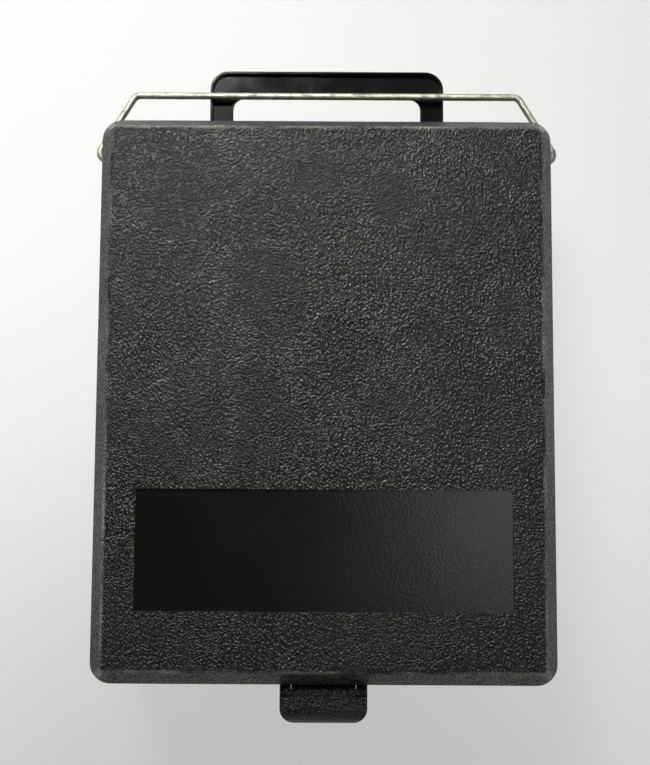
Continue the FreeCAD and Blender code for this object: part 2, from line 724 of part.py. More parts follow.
def bail():
    """One bent wire: two inturned ends, two slanting arms and a crossbar, with equal bends."""
    z = size(BAIL_Z)
    points = [
        FreeCAD.Vector(size(f"{BASE_SIDE} - bail_end_in"), size(BAIL_Y), z),
        FreeCAD.Vector(size(f"{BASE_SIDE} + bail_pivot_out"), size(BAIL_Y), z),
        FreeCAD.Vector(size("bail_bar_half"), size("case_length/2 + bail_bar_out"), z),
    ]
    points += [FreeCAD.Vector(-point.x, point.y, point.z) for point in reversed(points)]
    bend = size("bail_bend")
    edges, last = [], points[0]
    for before, corner, after in zip(points, points[1:], points[2:]):
        inward = (before - corner).normalize()
        outward = (after - corner).normalize()
        half = inward.getAngle(outward) / 2
        reach = bend / math.tan(half)
        middle = corner + (inward + outward).normalize() * (bend / math.sin(half) - bend)
        edges.append(Part.makeLine(last, corner + inward * reach))
        last = corner + outward * reach
        edges.append(Part.Arc(corner + inward * reach, middle, last).toShape())
    edges.append(Part.makeLine(last, points[-1]))
    ring = Part.Wire(Part.makeCircle(size("bail_wire") / 2, points[0], FreeCAD.Vector(1, 0, 0)))
    item = doc.addObject("Part::Feature", "Bail")
    item.Shape = Part.Wire(edges).makePipeShell([ring], True, False)
    return node(item, "bail")


def bail_bushes():
    """Flanged eyelets in the side walls, for the ends of the wire."""
    bore = "(bail_wire/2 + running_gap)"
    inner = f"({BASE_SIDE} - wall)"
    bushes = []
    for name, side in SIDES.items():
        start = inner if side == "" else f"-{BAIL_BOSS_END}"
        tube = rod(f"BushTube{name}", f"{bore} + bail_bush_wall", f"({BAIL_BOSS_END} - {inner})",
                   (start, BAIL_Y, BAIL_Z), "X")
        rim_start = BAIL_BOSS_END if side == "" else f"(-{BAIL_BOSS_END} - bail_bush_flange)"
        rim = rod(f"BushRim{name}", f"{bore} + 2*bail_bush_wall", "bail_bush_flange",
                  (rim_start, BAIL_Y, BAIL_Z), "X")
        hole = middle_rod(f"BushHole{name}", bore, f"2*{BAIL_BOSS_END} + 4*bail_bush_flange",
                          ("0", BAIL_Y, BAIL_Z), "X")
        bushes.append(cut(f"Bush{name}", fuse(f"BushForm{name}", [tube, rim]), [hole]))
    return node(group("BailBushes", bushes), "bail_bushes")


SELECTOR_X = [f"({step}*selector_pitch)" for step in (-1.5, -0.5, 0.5, 1.5)]
SLIDER_X = [f"({step}*slider_pitch)" for step in (-2.5, -1.5, -0.5, 0.5, 1.5, 2.5)]
BUTTON_X = {"test": "button_x", "shorts": "-button_x"}
LAMP_X = {"pilot": f"-{LAMP_SIDE_X}", "neon": LAMP_SIDE_X}
KNOBS = ("heater", "bias", "load", "line")
STANDOFFS = [
    (f"(board_x {a} board_width/2 {b} standoff_inset)", f"(board_y {c} board_length/2 {d} standoff_inset)")
    for a, b in ("+-", "-+")
    for c, d in ("+-", "-+")
]

# The place of each valve socket on the panel
SOCKETS = {
    "octal": ("socket_left_x", SOCKET_TOP_Y),
    "loctal": ("socket_right_x", SOCKET_TOP_Y),
    "noval": ("socket_left_x", f"({SOCKET_TOP_Y} - socket_pitch)"),
    "miniature": ("socket_right_x", f"({SOCKET_TOP_Y} - socket_pitch)"),
    "twelve": ("socket_left_x", f"({SOCKET_TOP_Y} - 2*socket_pitch)"),
}
STRAIGHTENER = ("straightener_x", f"({SOCKET_TOP_Y} - 2*socket_pitch)")


def panel():
    body = new_body("PanelPlate")
    sheet_metal = rounded_sketch(
        body, "PanelOutline", f"({BASE_WIDTH} - 2*wall - 2*panel_gap)",
        f"({BASE_LENGTH} - 2*wall - 2*panel_gap)", "base_corner - wall - panel_gap", z=PANEL_UNDER)
    pad(body, "PanelSheet", sheet_metal, "panel_thick")
    deep, low = "3*panel_thick", f"{PANEL_UNDER} - panel_thick"
    holes = [rod("MeterHole", "meter_barrel_radius + meter_fit", deep, ("meter_x", METER_Y, low))]
    for index, x in enumerate(SELECTOR_X):
        holes.append(rod(f"SelectorHole{index}", "bush_radius + press_gap", deep, (x, SELECTOR_Y, low)))
    for index, x in enumerate(SLIDER_X):
        slot = ("(slider_stem + 2*slider_gap)", "(slider_stem + 2*slider_travel + 2*slider_gap)", deep)
        holes.append(box(f"SliderSlot{index}", slot, (x, "slider_y"), low))
    for name, x in BUTTON_X.items():
        holes.append(rod(f"ButtonHole_{name}", "button_barrel_radius + press_gap", deep, (x, BUTTON_Y, low)))
    for name, x in LAMP_X.items():
        holes.append(rod(f"LampHole_{name}", "lamp_tube_radius + press_gap", deep, (x, BUTTON_Y, low)))
    holes.append(rod("ToggleHole", "toggle_bush_radius + press_gap", deep, (TOGGLE_X, BUTTON_Y, low)))
    inlet = ("(inlet_width - 2*inlet_lip + 2*press_gap)", "(inlet_length - 2*inlet_lip + 2*press_gap)", deep)
    holes.append(box("InletHole", inlet, (INLET_X, BUTTON_Y), low))
    for name, (x, y) in SOCKETS.items():
        holes.append(rod(f"SocketHole_{name}", f"{name}_radius - socket_lip + press_gap", deep, (x, y, low)))
    for index, (x, y) in enumerate(POSTS):
        holes.append(rod(f"PanelHole{index}", "panel_screw_radius + press_gap", deep, (x, y, low)))
    return node(cut("Panel", body, holes), "panel")


def panel_screws():
    screws = []
    for index, (x, y) in enumerate(POSTS):
        stem = rod(f"PanelStem{index}", "panel_screw_radius", "panel_screw_length",
                   (x, y, f"{PANEL_TOP} - panel_screw_length"))
        head = rod(f"PanelHead{index}", "screw_head_radius", "screw_head_height", (x, y, PANEL_TOP))
        slot_size = ("(2*screw_head_radius + screw_slot_width)", "screw_slot_width", "screw_head_height")
        slot = box(f"PanelHeadSlot{index}", slot_size, (x, y),
                   f"{PANEL_TOP} + screw_head_height - screw_slot_depth")
        screws.append(cut(f"PanelScrew{index}", fuse(f"PanelScrewForm{index}", [stem, head]), [slot]))
    return node(group("PanelScrews", screws), "panel_screws")


def meter():
    here = {"x": "meter_x", "y": METER_Y}
    inner = ("(meter_width - 2*meter_frame)", "(meter_length - 2*meter_frame)", "(meter_corner - meter_seat)")
    seat = ("(meter_width - 2*meter_frame + 2*meter_seat)", "(meter_length - 2*meter_frame + 2*meter_seat)",
            "meter_corner")
    low = f"({PANEL_TOP} - meter_barrel_depth)"
    body = new_body("MeterFrame")
    frame = rounded_sketch(body, "MeterOutline", "meter_width", "meter_length", "meter_corner",
                           z=PANEL_TOP, **here)
    pad(body, "MeterBlock", frame, "meter_height")
    round_edges(body, "MeterEdge", "meter_seat/2", level(METER_RIM))
    pocket(body, "MeterSeat", rounded_sketch(body, "MeterSeatOutline", *seat, z=METER_RIM, **here),
           f"({METER_RIM} - {LENS_Z})")
    pocket(body, "MeterWell", rounded_sketch(body, "MeterWellOutline", *inner, z=LENS_Z, **here),
           f"({LENS_Z} - {METER_FLOOR})")
    barrel = rod("MeterBarrel", "meter_barrel_radius", "meter_barrel_depth", ("meter_x", METER_Y, low))
    bore = rod("MeterBore", "meter_barrel_radius - meter_wall", f"({METER_FLOOR} - {low} - meter_wall)",
               ("meter_x", METER_Y, f"{low} + meter_wall"))
    node(cut("MeterCase", fuse("MeterForm", [body, barrel]), [bore]), "meter_case")
    dial = new_body("MeterDial")
    loose = ("(meter_width - 2*meter_frame - 2*meter_fit)", "(meter_length - 2*meter_frame - 2*meter_fit)",
             "(meter_corner - meter_seat)")
    card = rounded_sketch(dial, "DialOutline", *loose, z=METER_FLOOR, **here)
    pad(dial, "DialPlate", card, "meter_dial_thick")
    spindle_place = ("meter_x", f"({METER_Y} + meter_hub_y)")
    hole = rod("DialHole", "2*meter_spindle_radius", "3*meter_dial_thick",
               (*spindle_place, f"{METER_FLOOR} - meter_dial_thick"))
    node(cut("Dial", dial, [hole]), "meter_dial")
    lens = new_body("MeterLens")
    fit = ("(meter_width - 2*meter_frame + 2*meter_seat - 2*meter_fit)",
           "(meter_length - 2*meter_frame + 2*meter_seat - 2*meter_fit)", "meter_corner")
    pad(lens, "LensPlate", rounded_sketch(lens, "LensOutline", *fit, z=LENS_Z, **here), "meter_lens_thick")
    node(lens, "meter_lens")
    magnet = rod("Magnet", "meter_barrel_radius - meter_wall - meter_fit",
                 f"({METER_FLOOR} - {low} - meter_wall)", ("meter_x", METER_Y, f"{low} + meter_wall"))
    spindle = rod("Spindle", "meter_spindle_radius", "meter_dial_thick + meter_hub_height",
                  (*spindle_place, METER_FLOOR))
    node(fuse("MeterMovement", [magnet, spindle]), "meter_movement")
    needle(spindle_place)


def needle(place):
    hub_low = f"({METER_FLOOR} + meter_dial_thick + needle_thick)"
    hub = rod("NeedleHub", "meter_hub_radius", "meter_hub_height + needle_thick", (*place, hub_low))
    arm = doc.addObject("Part::Wedge", "NeedleArm")
    arm.Placement = FreeCAD.Placement(FreeCAD.Vector(), FreeCAD.Rotation(FreeCAD.Vector(0, 0, 1), 45))
    half = "needle_width/2"
    bind(arm, Xmin=f"-{half}", Xmax=half, X2min=f"-{half}/4", X2max=f"{half}/4",
         Ymin="0", Ymax="needle_length", Zmin="0", Zmax="needle_thick", Z2min="0", Z2max="needle_thick")
    arm.setExpression("Placement.Rotation.Angle", bound("needle_rest_angle"))
    put(arm, *place, f"{hub_low} + needle_thick")
    bore = rod("NeedleBore", "meter_spindle_radius + running_gap", "meter_hub_height - needle_thick",
               (*place, hub_low))
    return node(cut("Needle", fuse("NeedleForm", [hub, arm]), [bore]), "meter_needle")


def selectors():
    bodies, bushes, nuts = [], [], []
    for name, x in zip(KNOBS, SELECTOR_X):
        here = (x, SELECTOR_Y)
        low = f"({PANEL_UNDER} - shaft_below)"
        knob_low = f"({PANEL_TOP} + bush_above + knob_gap)"
        shaft = rod(f"Shaft_{name}", "shaft_radius", f"({knob_low} + knob_height - knob_skirt - {low})",
                    (*here, low))
        node(shaft, f"shaft_{name}")
        skirt = rod(f"KnobSkirt_{name}", "knob_radius", "knob_skirt", (*here, knob_low))
        grip = doc.addObject("Part::Cone", f"KnobGrip_{name}")
        bind(grip, Radius1="knob_grip_radius", Radius2="knob_grip_radius - knob_skirt/3",
             Height="knob_height - knob_skirt")
        put(grip, *here, f"{knob_low} + knob_skirt")
        bore = rod(f"KnobBore_{name}", "shaft_radius + press_gap", "knob_height - knob_skirt",
                   (*here, knob_low))
        node(cut(f"Knob_{name}", fuse(f"KnobForm_{name}", [skirt, grip]), [bore]), f"knob_{name}")
        tube = rod(f"BushBody_{name}", "bush_radius", f"({PANEL_TOP} + bush_above - {PANEL_UNDER})",
                   (*here, PANEL_UNDER))
        hole = rod(f"BushBore_{name}", "shaft_radius + running_gap", "4*bush_above",
                   (*here, f"{PANEL_UNDER} - bush_above"))
        bushes.append(cut(f"ShaftBush_{name}", tube, [hole]))
        hexagon = doc.addObject("Part::Prism", f"NutForm_{name}")
        hexagon.Polygon = 6
        bind(hexagon, Circumradius="nut_radius", Height="nut_height")
        put(hexagon, *here, PANEL_TOP)
        nut_hole = rod(f"NutBore_{name}", "bush_radius + press_gap", "3*nut_height",
                       (*here, f"{PANEL_TOP} - nut_height"))
        nuts.append(cut(f"Nut_{name}", hexagon, [nut_hole]))
        block = rod(f"SelectorBlock_{name}", "selector_radius", "selector_depth",
                    (*here, f"{PANEL_UNDER} - selector_depth"))
        socket = rod(f"SelectorBore_{name}", "shaft_radius + running_gap", "shaft_below + running_gap",
                     (*here, f"{low} - running_gap"))
        bodies.append(cut(f"Selector_{name}", block, [socket]))
    node(group("SelectorSwitches", bodies), "selector_switches")
    node(group("ShaftBushes", bushes), "shaft_bushes")
    node(group("SelectorNuts", nuts), "selector_nuts")


def sliders():
    frames = []
    foot_low = f"({PANEL_UNDER} - slider_gap - slider_foot_height)"
    for index, x in enumerate(SLIDER_X, 1):
        here = (x, "slider_y")
        foot = box(f"SliderFoot{index}", ("slider_foot_width", "slider_foot_length", "slider_foot_height"),
                   here, foot_low)
        stem = box(f"SliderStem{index}", ("slider_stem", "slider_stem",
                                          f"({PANEL_TOP} + slider_above - {foot_low})"), here, foot_low)
        node(fuse(f"Slider{index}", [foot, stem]), f"slider_{index}")
        hollow = ("(slider_foot_width + 2*slider_gap)",
                  "(slider_foot_length + 2*slider_travel + 2*slider_gap)", "slider_cavity_depth")
        block = box(f"FrameBlock{index}", (f"({hollow[0]} + slider_frame_wall)",
                                           f"({hollow[1]} + slider_frame_wall)", "slider_frame_depth"),
                    here, f"{PANEL_UNDER} - slider_frame_depth")
        well = box(f"FrameWell{index}", hollow, here, f"{PANEL_UNDER} - slider_cavity_depth")
        frames.append(cut(f"SliderFrame{index}", block, [well]))
    return node(group("SliderFrames", frames), "slider_frames")


def buttons():
    bushes, blocks = [], []
    for name, x in BUTTON_X.items():
        here = (x, BUTTON_Y)
        top = f"({PANEL_TOP} + button_bush_height)"
        low = f"({PANEL_UNDER} - button_barrel_depth)"
        head_low = f"({top} + button_travel + button_top_gap)"
        stem_low = f"({low} + button_travel + button_top_gap)"
        stem = rod(f"ButtonStem_{name}", "button_radius", f"({head_low} - {stem_low})", (*here, stem_low))
        head = rod(f"ButtonHead_{name}", "button_head_radius", "button_head_height", (*here, head_low))
        rounded = doc.addObject("Part::Fillet", f"ButtonDome_{name}")
        doc.recompute()
        rounded.Base = head
        rim = max(range(1, 4), key=lambda index: head.Shape.Edges[index - 1].CenterOfMass.z)
        rounded.Edges = [(rim, size("button_head_height/4"), size("button_head_height/4"))]
        node(fuse(f"Button_{name}", [stem, rounded]), f"button_{name}")
        flange = rod(f"ButtonFlange_{name}", "button_bush_radius", "button_bush_height", (*here, PANEL_TOP))
        barrel = rod(f"ButtonBarrel_{name}", "button_barrel_radius", f"({PANEL_TOP} - {low})", (*here, low))
        bore = rod(f"ButtonBore_{name}", "button_radius + running_gap", "6*button_barrel_depth",
                   (*here, f"{low} - button_barrel_depth"))
        bushes.append(cut(f"ButtonBush_{name}", fuse(f"ButtonSleeve_{name}", [flange, barrel]), [bore]))
        blocks.append(box(f"ButtonBlock_{name}", ("button_block_side", "button_block_side",
                                                  "button_block_depth"), here, f"{low} - button_block_depth"))
    node(group("ButtonBushes", bushes), "button_bushes")
    node(group("ButtonSwitches", blocks), "button_switches")


def toggle():
    here = (TOGGLE_X, BUTTON_Y)
    pivot = f"({PANEL_TOP} + toggle_pivot_up)"
    bush = rod("ToggleBush", "toggle_bush_radius", "toggle_bush_height + panel_thick", (*here, PANEL_UNDER))
    block = box("ToggleBlock", ("toggle_body_side", "toggle_body_side", "toggle_body_depth"), here,
                f"{PANEL_UNDER} - toggle_body_depth")
    bore = rod("ToggleBore", "toggle_bush_bore", "2*toggle_bush_height",
               (*here, f"{pivot} - toggle_ball_radius - press_gap"))
    node(cut("ToggleBody", fuse("ToggleForm", [bush, block]), [bore]), "toggle_body")
    ball = doc.addObject("Part::Sphere", "ToggleBall")
    bind(ball, Radius="toggle_ball_radius")
    put(ball, *here, pivot)
    bat = doc.addObject("Part::Cone", "ToggleBat")
    tip = doc.addObject("Part::Sphere", "ToggleTip")
    bind(bat, Radius1="toggle_root_radius", Radius2="toggle_tip_radius", Height="toggle_length")
    bind(tip, Radius="toggle_tip_radius")
    bat.Placement = FreeCAD.Placement(FreeCAD.Vector(), FreeCAD.Rotation(FreeCAD.Vector(1, 0, 0), 14))
    bat.setExpression("Placement.Rotation.Angle", bound("toggle_tilt"))
    put(bat, *here, pivot)
    put(tip, here[0], f"{here[1]} - toggle_length*sin(toggle_tilt)",
        f"{pivot} + toggle_length*cos(toggle_tilt)")
    return node(fuse("ToggleLever", [ball, bat, tip]), "toggle_lever")


def lamps():
    holders = []
    for name, x in LAMP_X.items():
        here = (x, BUTTON_Y)
        bezel = rod(f"Bezel_{name}", "lamp_bezel_radius", "lamp_bezel_height", (*here, PANEL_TOP))
        tube = rod(f"LampTube_{name}", "lamp_tube_radius", "lamp_tube_depth + lamp_bezel_height/2",
                   (*here, f"{PANEL_TOP} - lamp_tube_depth"))
        bore = rod(f"LampBore_{name}", "lamp_bore", "lamp_tube_depth + lamp_bezel_height",
                   (*here, f"{PANEL_TOP} - lamp_tube_depth + lamp_tube_radius"))
        holders.append(cut(f"LampHolder_{name}", fuse(f"LampForm_{name}", [bezel, tube]), [bore]))
        stem = rod(f"LensStem_{name}", "lamp_lens_radius", "lamp_bezel_height + lamp_tube_radius",
                   (*here, f"{PANEL_TOP} - lamp_tube_radius"))
        dome = doc.addObject("Part::Sphere", f"LensDome_{name}")
        bind(dome, Radius="lamp_lens_radius")
        put(dome, *here, f"{PANEL_TOP} + lamp_bezel_height")
        node(fuse(f"LampLens_{name}", [stem, dome]), f"lamp_{name}")
    return node(group("LampHolders", holders), "lamp_holders")


def inlet():
    here = (INLET_X, BUTTON_Y)
    neck = ("(inlet_width - 2*inlet_lip)", "(inlet_length - 2*inlet_lip)")
    low = f"({PANEL_TOP} - inlet_depth)"
    flange = box("InletFlange", ("inlet_width", "inlet_length", "inlet_flange"), here, PANEL_TOP)
    shell = box("InletShell", (*neck, "inlet_depth"), here, low)
    cavity = (f"({neck[0]} - 2*inlet_wall)", f"({neck[1]} - 2*inlet_wall)", "2*inlet_depth")
    floor = f"({low} + inlet_wall)"
    holes = [box("InletCavity", cavity, here, floor)]
    pins = []
    for index, step in enumerate((-0.5, 0.5)):
        place = (f"({INLET_X} + {step}*inlet_pin_pitch)", BUTTON_Y)
        holes.append(rod(f"InletPinHole{index}", "inlet_pin_radius + press_gap", "2*inlet_wall",
                         (*place, f"{low} - inlet_wall/2")))
        pins.append(rod(f"InletPin{index}", "inlet_pin_radius", "inlet_wall + inlet_pin_length",
                        (*place, low)))
    node(cut("PowerInlet", fuse("InletForm", [flange, shell]), holes), "power_inlet")
    return node(group("InletPins", pins), "inlet_pins")


def socket(name, pins, places):
    """A valve socket: so many pins on a circle that is divided into so many places."""
    x, y = SOCKETS[name]
    radius = f"{name}_radius"
    flange = rod(f"Flange_{name}", radius, "socket_flange", (x, y, PANEL_TOP))
    body = rod(f"Body_{name}", f"{radius} - socket_lip", "socket_depth",
               (x, y, f"{PANEL_TOP} - socket_depth"))
    deep, low = "4*socket_depth", f"{PANEL_TOP} - 2*socket_depth"
    holes = [rod(f"Key_{name}", f"{name}_key", deep, (x, y, low))]
    for pin in range(pins):
        angle = f"({-90 + 360 / places * (pin + (places - pins + 1) / 2)} deg)"
        place = (f"{x} + {name}_circle*cos({angle})", f"{y} + {name}_circle*sin({angle})", low)
        holes.append(rod(f"Pin{pin}_{name}", f"{name}_pin", deep, place))
    return node(cut(f"Socket_{name}", fuse(f"SocketForm_{name}", [flange, body]), holes), f"socket_{name}")


def straighteners():
    """Two drilled blocks that true up bent pins, side by side on the panel."""
    blocks = []
    x, y = STRAIGHTENER
    for index, (name, pins, places) in enumerate((("noval", 9, 10), ("miniature", 7, 8))):
        centre = (f"({x} + {2 * index - 1}*straightener_spread)", y)
        block = rod(f"Straightener_{name}", "straightener_radius", "straightener_height",
                    (*centre, PANEL_TOP))
        holes = []
        for pin in range(pins):
            angle = f"({-90 + 360 / places * (pin + 1)} deg)"
            place = (f"{centre[0]} + {name}_circle*cos({angle})", f"{centre[1]} + {name}_circle*sin({angle})",
                     f"{PANEL_TOP} + straightener_height/4")
            holes.append(rod(f"TruePin{pin}_{name}", f"{name}_pin", "straightener_height", place))
        blocks.append(cut(f"StraightenerBlock_{name}", block, holes))
    return node(group("Straighteners", blocks), "pin_straighteners")


def transformer():
    here = ("transformer_x", "transformer_y")
    node(box("TransformerBracket", ("bracket_width", "core_thick", "bracket_thick"), here, "wall"),
         "transformer_bracket")
    core_low = "(wall + bracket_thick)"
    core = box("TransformerCore", ("core_width", "core_thick", "core_height"), here, core_low)
    node(core, "transformer_core")
    winding = box("Winding", ("coil_width", "coil_length", "coil_height"), here,
                  f"{core_low} + (core_height - coil_height)/2")
    gap = box("WindingGap", ("core_width", "core_thick", "core_height"), here, core_low)
    return node(cut("TransformerCoil", winding, [gap]), "transformer_coil")


def board():
    here = ("board_x", "board_y")
    node(box("CircuitBoard", ("board_width", "board_length", "board_thick"), here, BOARD_Z), "circuit_board")
    top = f"({BOARD_Z} + board_thick)"
    cans = [
        rod(f"Capacitor{index}", "capacitor_radius", "capacitor_height",
            (f"(board_x + {step}*capacitor_pitch)", "(board_y + board_length/4)", top))
        for index, step in enumerate((-1, 0, 1))
    ]
    node(group("Capacitors", cans), "capacitors")
    resistors = [
        middle_rod(f"Resistor{index}", "resistor_radius", "resistor_length",
                   (f"(board_x + {step}*resistor_pitch)", "(board_y - board_length/4)",
                    f"{top} + resistor_radius"), "Y")
        for index, step in enumerate((-2.5, -1.5, -0.5, 0.5, 1.5, 2.5))
    ]
    return node(group("Resistors", resistors), "resistors")


def check_document():
    """Stop when any object failed or any sub-part has no sound shape."""
    doc.recompute()
    for item in doc.Objects:
        if "Invalid" in item.State or "Error" in item.State:
            raise RuntimeError(f"{item.Name} failed: {item.State}")
    for item in NODES:
        if item.Shape.isNull() or not item.Shape.isValid() or not item.Shape.Solids:
            raise RuntimeError(f"{item.Label} has no sound shape")


def main():
    base_shell()
    lid_shell()
    hinge_pins()
    latch()
    latch_fittings()
    handle()
    handle_fixings()
    bail()
    bail_bushes()
    panel()
    panel_screws()
    meter()
    selectors()
    sliders()
    buttons()
    toggle()
    lamps()
    inlet()
    socket("octal", 8, 8)
    socket("loctal", 8, 8)
    socket("noval", 9, 10)
    socket("miniature", 7, 8)
    socket("twelve", 12, 13)
    straighteners()
    transformer()
    board()
    check_document()
    os.makedirs("parts", exist_ok=True)
    for item in NODES:
        item.Shape.exportStep(f"parts/{item.Label}.step")
        print(f"{item.Label}: {len(item.Shape.Solids)} solid(s), {item.Shape.Volume:.0f} mm3")
    print(len(NODES), "nodes")


main()
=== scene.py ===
# %% [markdown]
# A tube tester in a moulded carrying case
# The CAD frame already holds every part at its real size and in its real place. This lesson adds what CAD
# leaves plain: finishes, fluted knobs, printed marks and light. The frame comes first. The dressed part may
# not grow past it.

# %% Load the frame
import math

import bmesh
import bpy
from mathutils import Matrix, Vector


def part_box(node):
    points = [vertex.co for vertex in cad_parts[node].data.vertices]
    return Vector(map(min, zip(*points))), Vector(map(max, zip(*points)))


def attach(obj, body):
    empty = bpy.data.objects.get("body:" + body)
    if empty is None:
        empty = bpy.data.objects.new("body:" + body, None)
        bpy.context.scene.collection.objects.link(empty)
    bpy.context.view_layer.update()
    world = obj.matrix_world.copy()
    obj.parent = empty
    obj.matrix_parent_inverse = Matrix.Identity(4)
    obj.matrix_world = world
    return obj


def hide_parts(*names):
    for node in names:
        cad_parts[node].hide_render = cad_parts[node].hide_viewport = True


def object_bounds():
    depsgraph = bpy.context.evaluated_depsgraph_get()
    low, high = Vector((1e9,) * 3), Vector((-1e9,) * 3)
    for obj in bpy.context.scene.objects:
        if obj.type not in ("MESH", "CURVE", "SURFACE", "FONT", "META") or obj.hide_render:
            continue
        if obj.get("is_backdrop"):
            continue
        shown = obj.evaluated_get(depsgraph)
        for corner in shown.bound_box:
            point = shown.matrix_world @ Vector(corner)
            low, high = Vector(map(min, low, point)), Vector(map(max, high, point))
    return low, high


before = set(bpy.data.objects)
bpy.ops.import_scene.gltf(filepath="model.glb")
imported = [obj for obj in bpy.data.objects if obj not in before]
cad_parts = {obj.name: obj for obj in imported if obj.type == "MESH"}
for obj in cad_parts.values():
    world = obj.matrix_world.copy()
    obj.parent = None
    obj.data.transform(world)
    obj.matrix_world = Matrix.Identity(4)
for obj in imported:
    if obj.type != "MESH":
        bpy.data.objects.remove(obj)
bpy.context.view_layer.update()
MM = 0.001

# %% [markdown]
# The camera
# The photo looks almost straight down, from a little towards the latch, so the lid's long sides draw
# together towards the handle. The place, in mm, and the tilt, in degrees, come from that narrowing. The
# lens is given for a 36 mm sensor on the picture's longer side, which the automatic fit uses.

# %% Camera at the photo's place
SENSOR = 36
LENS = 61.36
CAMERA_PLACE = (0.3, -63.3, 720.1)
CAMERA_TILT = 6.3
CAMERA_TURN = 0.32

camera = bpy.data.cameras.new("photo_camera")
camera.sensor_width = SENSOR
camera.lens = LENS
camera_object = bpy.data.objects.new("photo_camera", camera)
camera_object.location = Vector(CAMERA_PLACE) * MM
camera_object.rotation_euler = (math.radians(CAMERA_TILT), 0, math.radians(CAMERA_TURN))
scene = bpy.context.scene
scene.collection.objects.link(camera_object)
scene.camera = camera_object
print("camera height in mm:", round(camera_object.location.z / MM))

# %% [markdown]
# Colours and shader nodes
# Colours are written as sRGB hex values, as a paint chart gives them, and one function turns them to the
# linear numbers that shaders use. One more function adds a node, sets it and feeds its inputs, so that a
# finish reads as a list of what goes into it. An input takes a plain value, a socket, or a node, whose
# first output in use is then linked.

# %% Helpers for finishes
def linear(code):
    """Turns an sRGB hex colour into linear red, green, blue and alpha."""
    shades = [int(code[place:place + 2], 16) / 255 for place in (1, 3, 5)]
    return [s / 12.92 if s <= 0.04045 else ((s + 0.055) / 1.055) ** 2.4 for s in shades] + [1.0]


def in_use(sockets, name=None):
    """Finds a socket by its number, or the first one in use, of that name where a name is given."""
    if isinstance(name, int):
        return sockets[name]
    return next(socket for socket in sockets if socket.enabled and name in (None, socket.name))


def feed(tree, socket, value):
    """Gives an input a plain value, or a link from a socket or a node."""
    if isinstance(value, bpy.types.Node):
        value = in_use(value.outputs)
    if isinstance(value, bpy.types.NodeSocket):
        tree.links.new(value, socket)
    else:
        socket.default_value = value


def add(tree, kind, inputs=None, **settings):
    """Adds a shader node, sets it, and feeds its inputs."""
    made = tree.nodes.new("ShaderNode" + kind)
    for name, value in settings.items():
        setattr(made, name, value)
    for name, value in (inputs or {}).items():
        feed(tree, in_use(made.inputs, name), value)
    return made


def start_finish(name, **constants):
    """Starts a material and returns it with its tree, its shader and the object coordinates."""
    material = bpy.data.materials.new(name)
    material.use_nodes = True
    tree = material.node_tree
    shader = tree.nodes["Principled BSDF"]
    for socket, value in constants.items():
        shader.inputs[socket.replace("_", " ")].default_value = value
    return material, tree, shader, add(tree, "TexCoord").outputs["Object"]


def per_metre(millimetres):
    """Gives the texture scale at which a pattern repeats after that many millimetres."""
    return 1 / (millimetres * MM)


print("mid grey in linear light:", round(linear("#808080")[0], 3))

# %% [markdown]
# The table The case lies on a wide white table. One square of 24 m is enough for every view, and it lies a
# hair below the case, so that the two never flicker where they meet.

# %% A wide floor
scene.view_settings.view_transform = "Standard"

FLOOR_HALF = 12
FLOOR_DROP = 0.3

floor_mesh = bmesh.new()
bmesh.ops.create_grid(floor_mesh, x_segments=1, y_segments=1, size=FLOOR_HALF)
bmesh.ops.translate(floor_mesh, verts=floor_mesh.verts, vec=(0, 0, -FLOOR_DROP * MM))
floor_data = bpy.data.meshes.new("floor")
floor_mesh.to_mesh(floor_data)
floor_mesh.free()
floor = bpy.data.objects.new("floor", floor_data)
scene.collection.objects.link(floor)
floor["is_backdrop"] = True
print("floor width in m:", 2 * FLOOR_HALF)

# %% [markdown]
# The light on the table
# The photo's table is brightest at the upper left, dims towards the latch and shows next to no shadow, as
# under light from all sides. So, for what is seen straight or mirrored, most of the table near the case is
# a glow with that fall of light, and the rest is lit paint, which keeps a faint shadow. Other rays meet
# plain paint there, and the case gets no more light for it. Further out the paint fades into an even glow
# for all rays, as on a lit studio sweep, so that low views end in the room's pale tone.

# %% Table paint and glow
ROOM_TONE = linear("#FBFBF7")
ROOM_LIGHT = 0.8
# Distances from the case's middle, in metres, between which the even glow takes over
FADE_START = 0.3
FADE_END = 1.3
# The share of the table near the case that glows where it is seen
GLOW_SHARE = 0.9
# The dim place before the latch, and the distances from it between which the light returns, in mm
DIM_MIDDLE = (-60, -300, 0)
DIM_NEAR = 90
DIM_FAR = 420
DIM_LIGHT = 0.56
POOL_LIGHT = 0.86
# At this distance to the left, in mm, the glow is stronger by this part, and to the right weaker
SIDE_REACH = 200
SIDE_FALL = 0.1

table, tree, shader, place = start_finish("painted_table", Roughness=0.6)
cloud = add(tree, "TexNoise", {"Vector": place, "Scale": per_metre(180), "Detail": 2.0})
tone = add(tree, "Mix", {"Factor": cloud, "A": linear("#EFEFEA"), "B": linear("#E6E6E0")}, data_type="RGBA")
away = add(tree, "VectorMath", {0: place}, operation="LENGTH")
fade = add(tree, "MapRange", {"Value": away, "From Min": FADE_START, "From Max": FADE_END},
           interpolation_type="SMOOTHSTEP")
rays = add(tree, "LightPath").outputs
mirrored = add(tree, "Math", {0: rays["Is Glossy Ray"], 1: rays["Is Transmission Ray"]}, operation="MAXIMUM")
seen = add(tree, "Math", {0: rays["Is Camera Ray"], 1: mirrored}, operation="MAXIMUM")
near = add(tree, "Math", {0: seen, 1: GLOW_SHARE}, operation="MULTIPLY")
share = add(tree, "Math", {0: near, 1: fade}, operation="MAXIMUM")
dim_away = add(tree, "VectorMath", {0: place, 1: Vector(DIM_MIDDLE) * MM}, operation="DISTANCE")
pool = add(tree, "MapRange", {"Value": dim_away, "From Min": DIM_NEAR * MM, "From Max": DIM_FAR * MM,
                              "To Min": DIM_LIGHT, "To Max": POOL_LIGHT}, interpolation_type="SMOOTHSTEP")
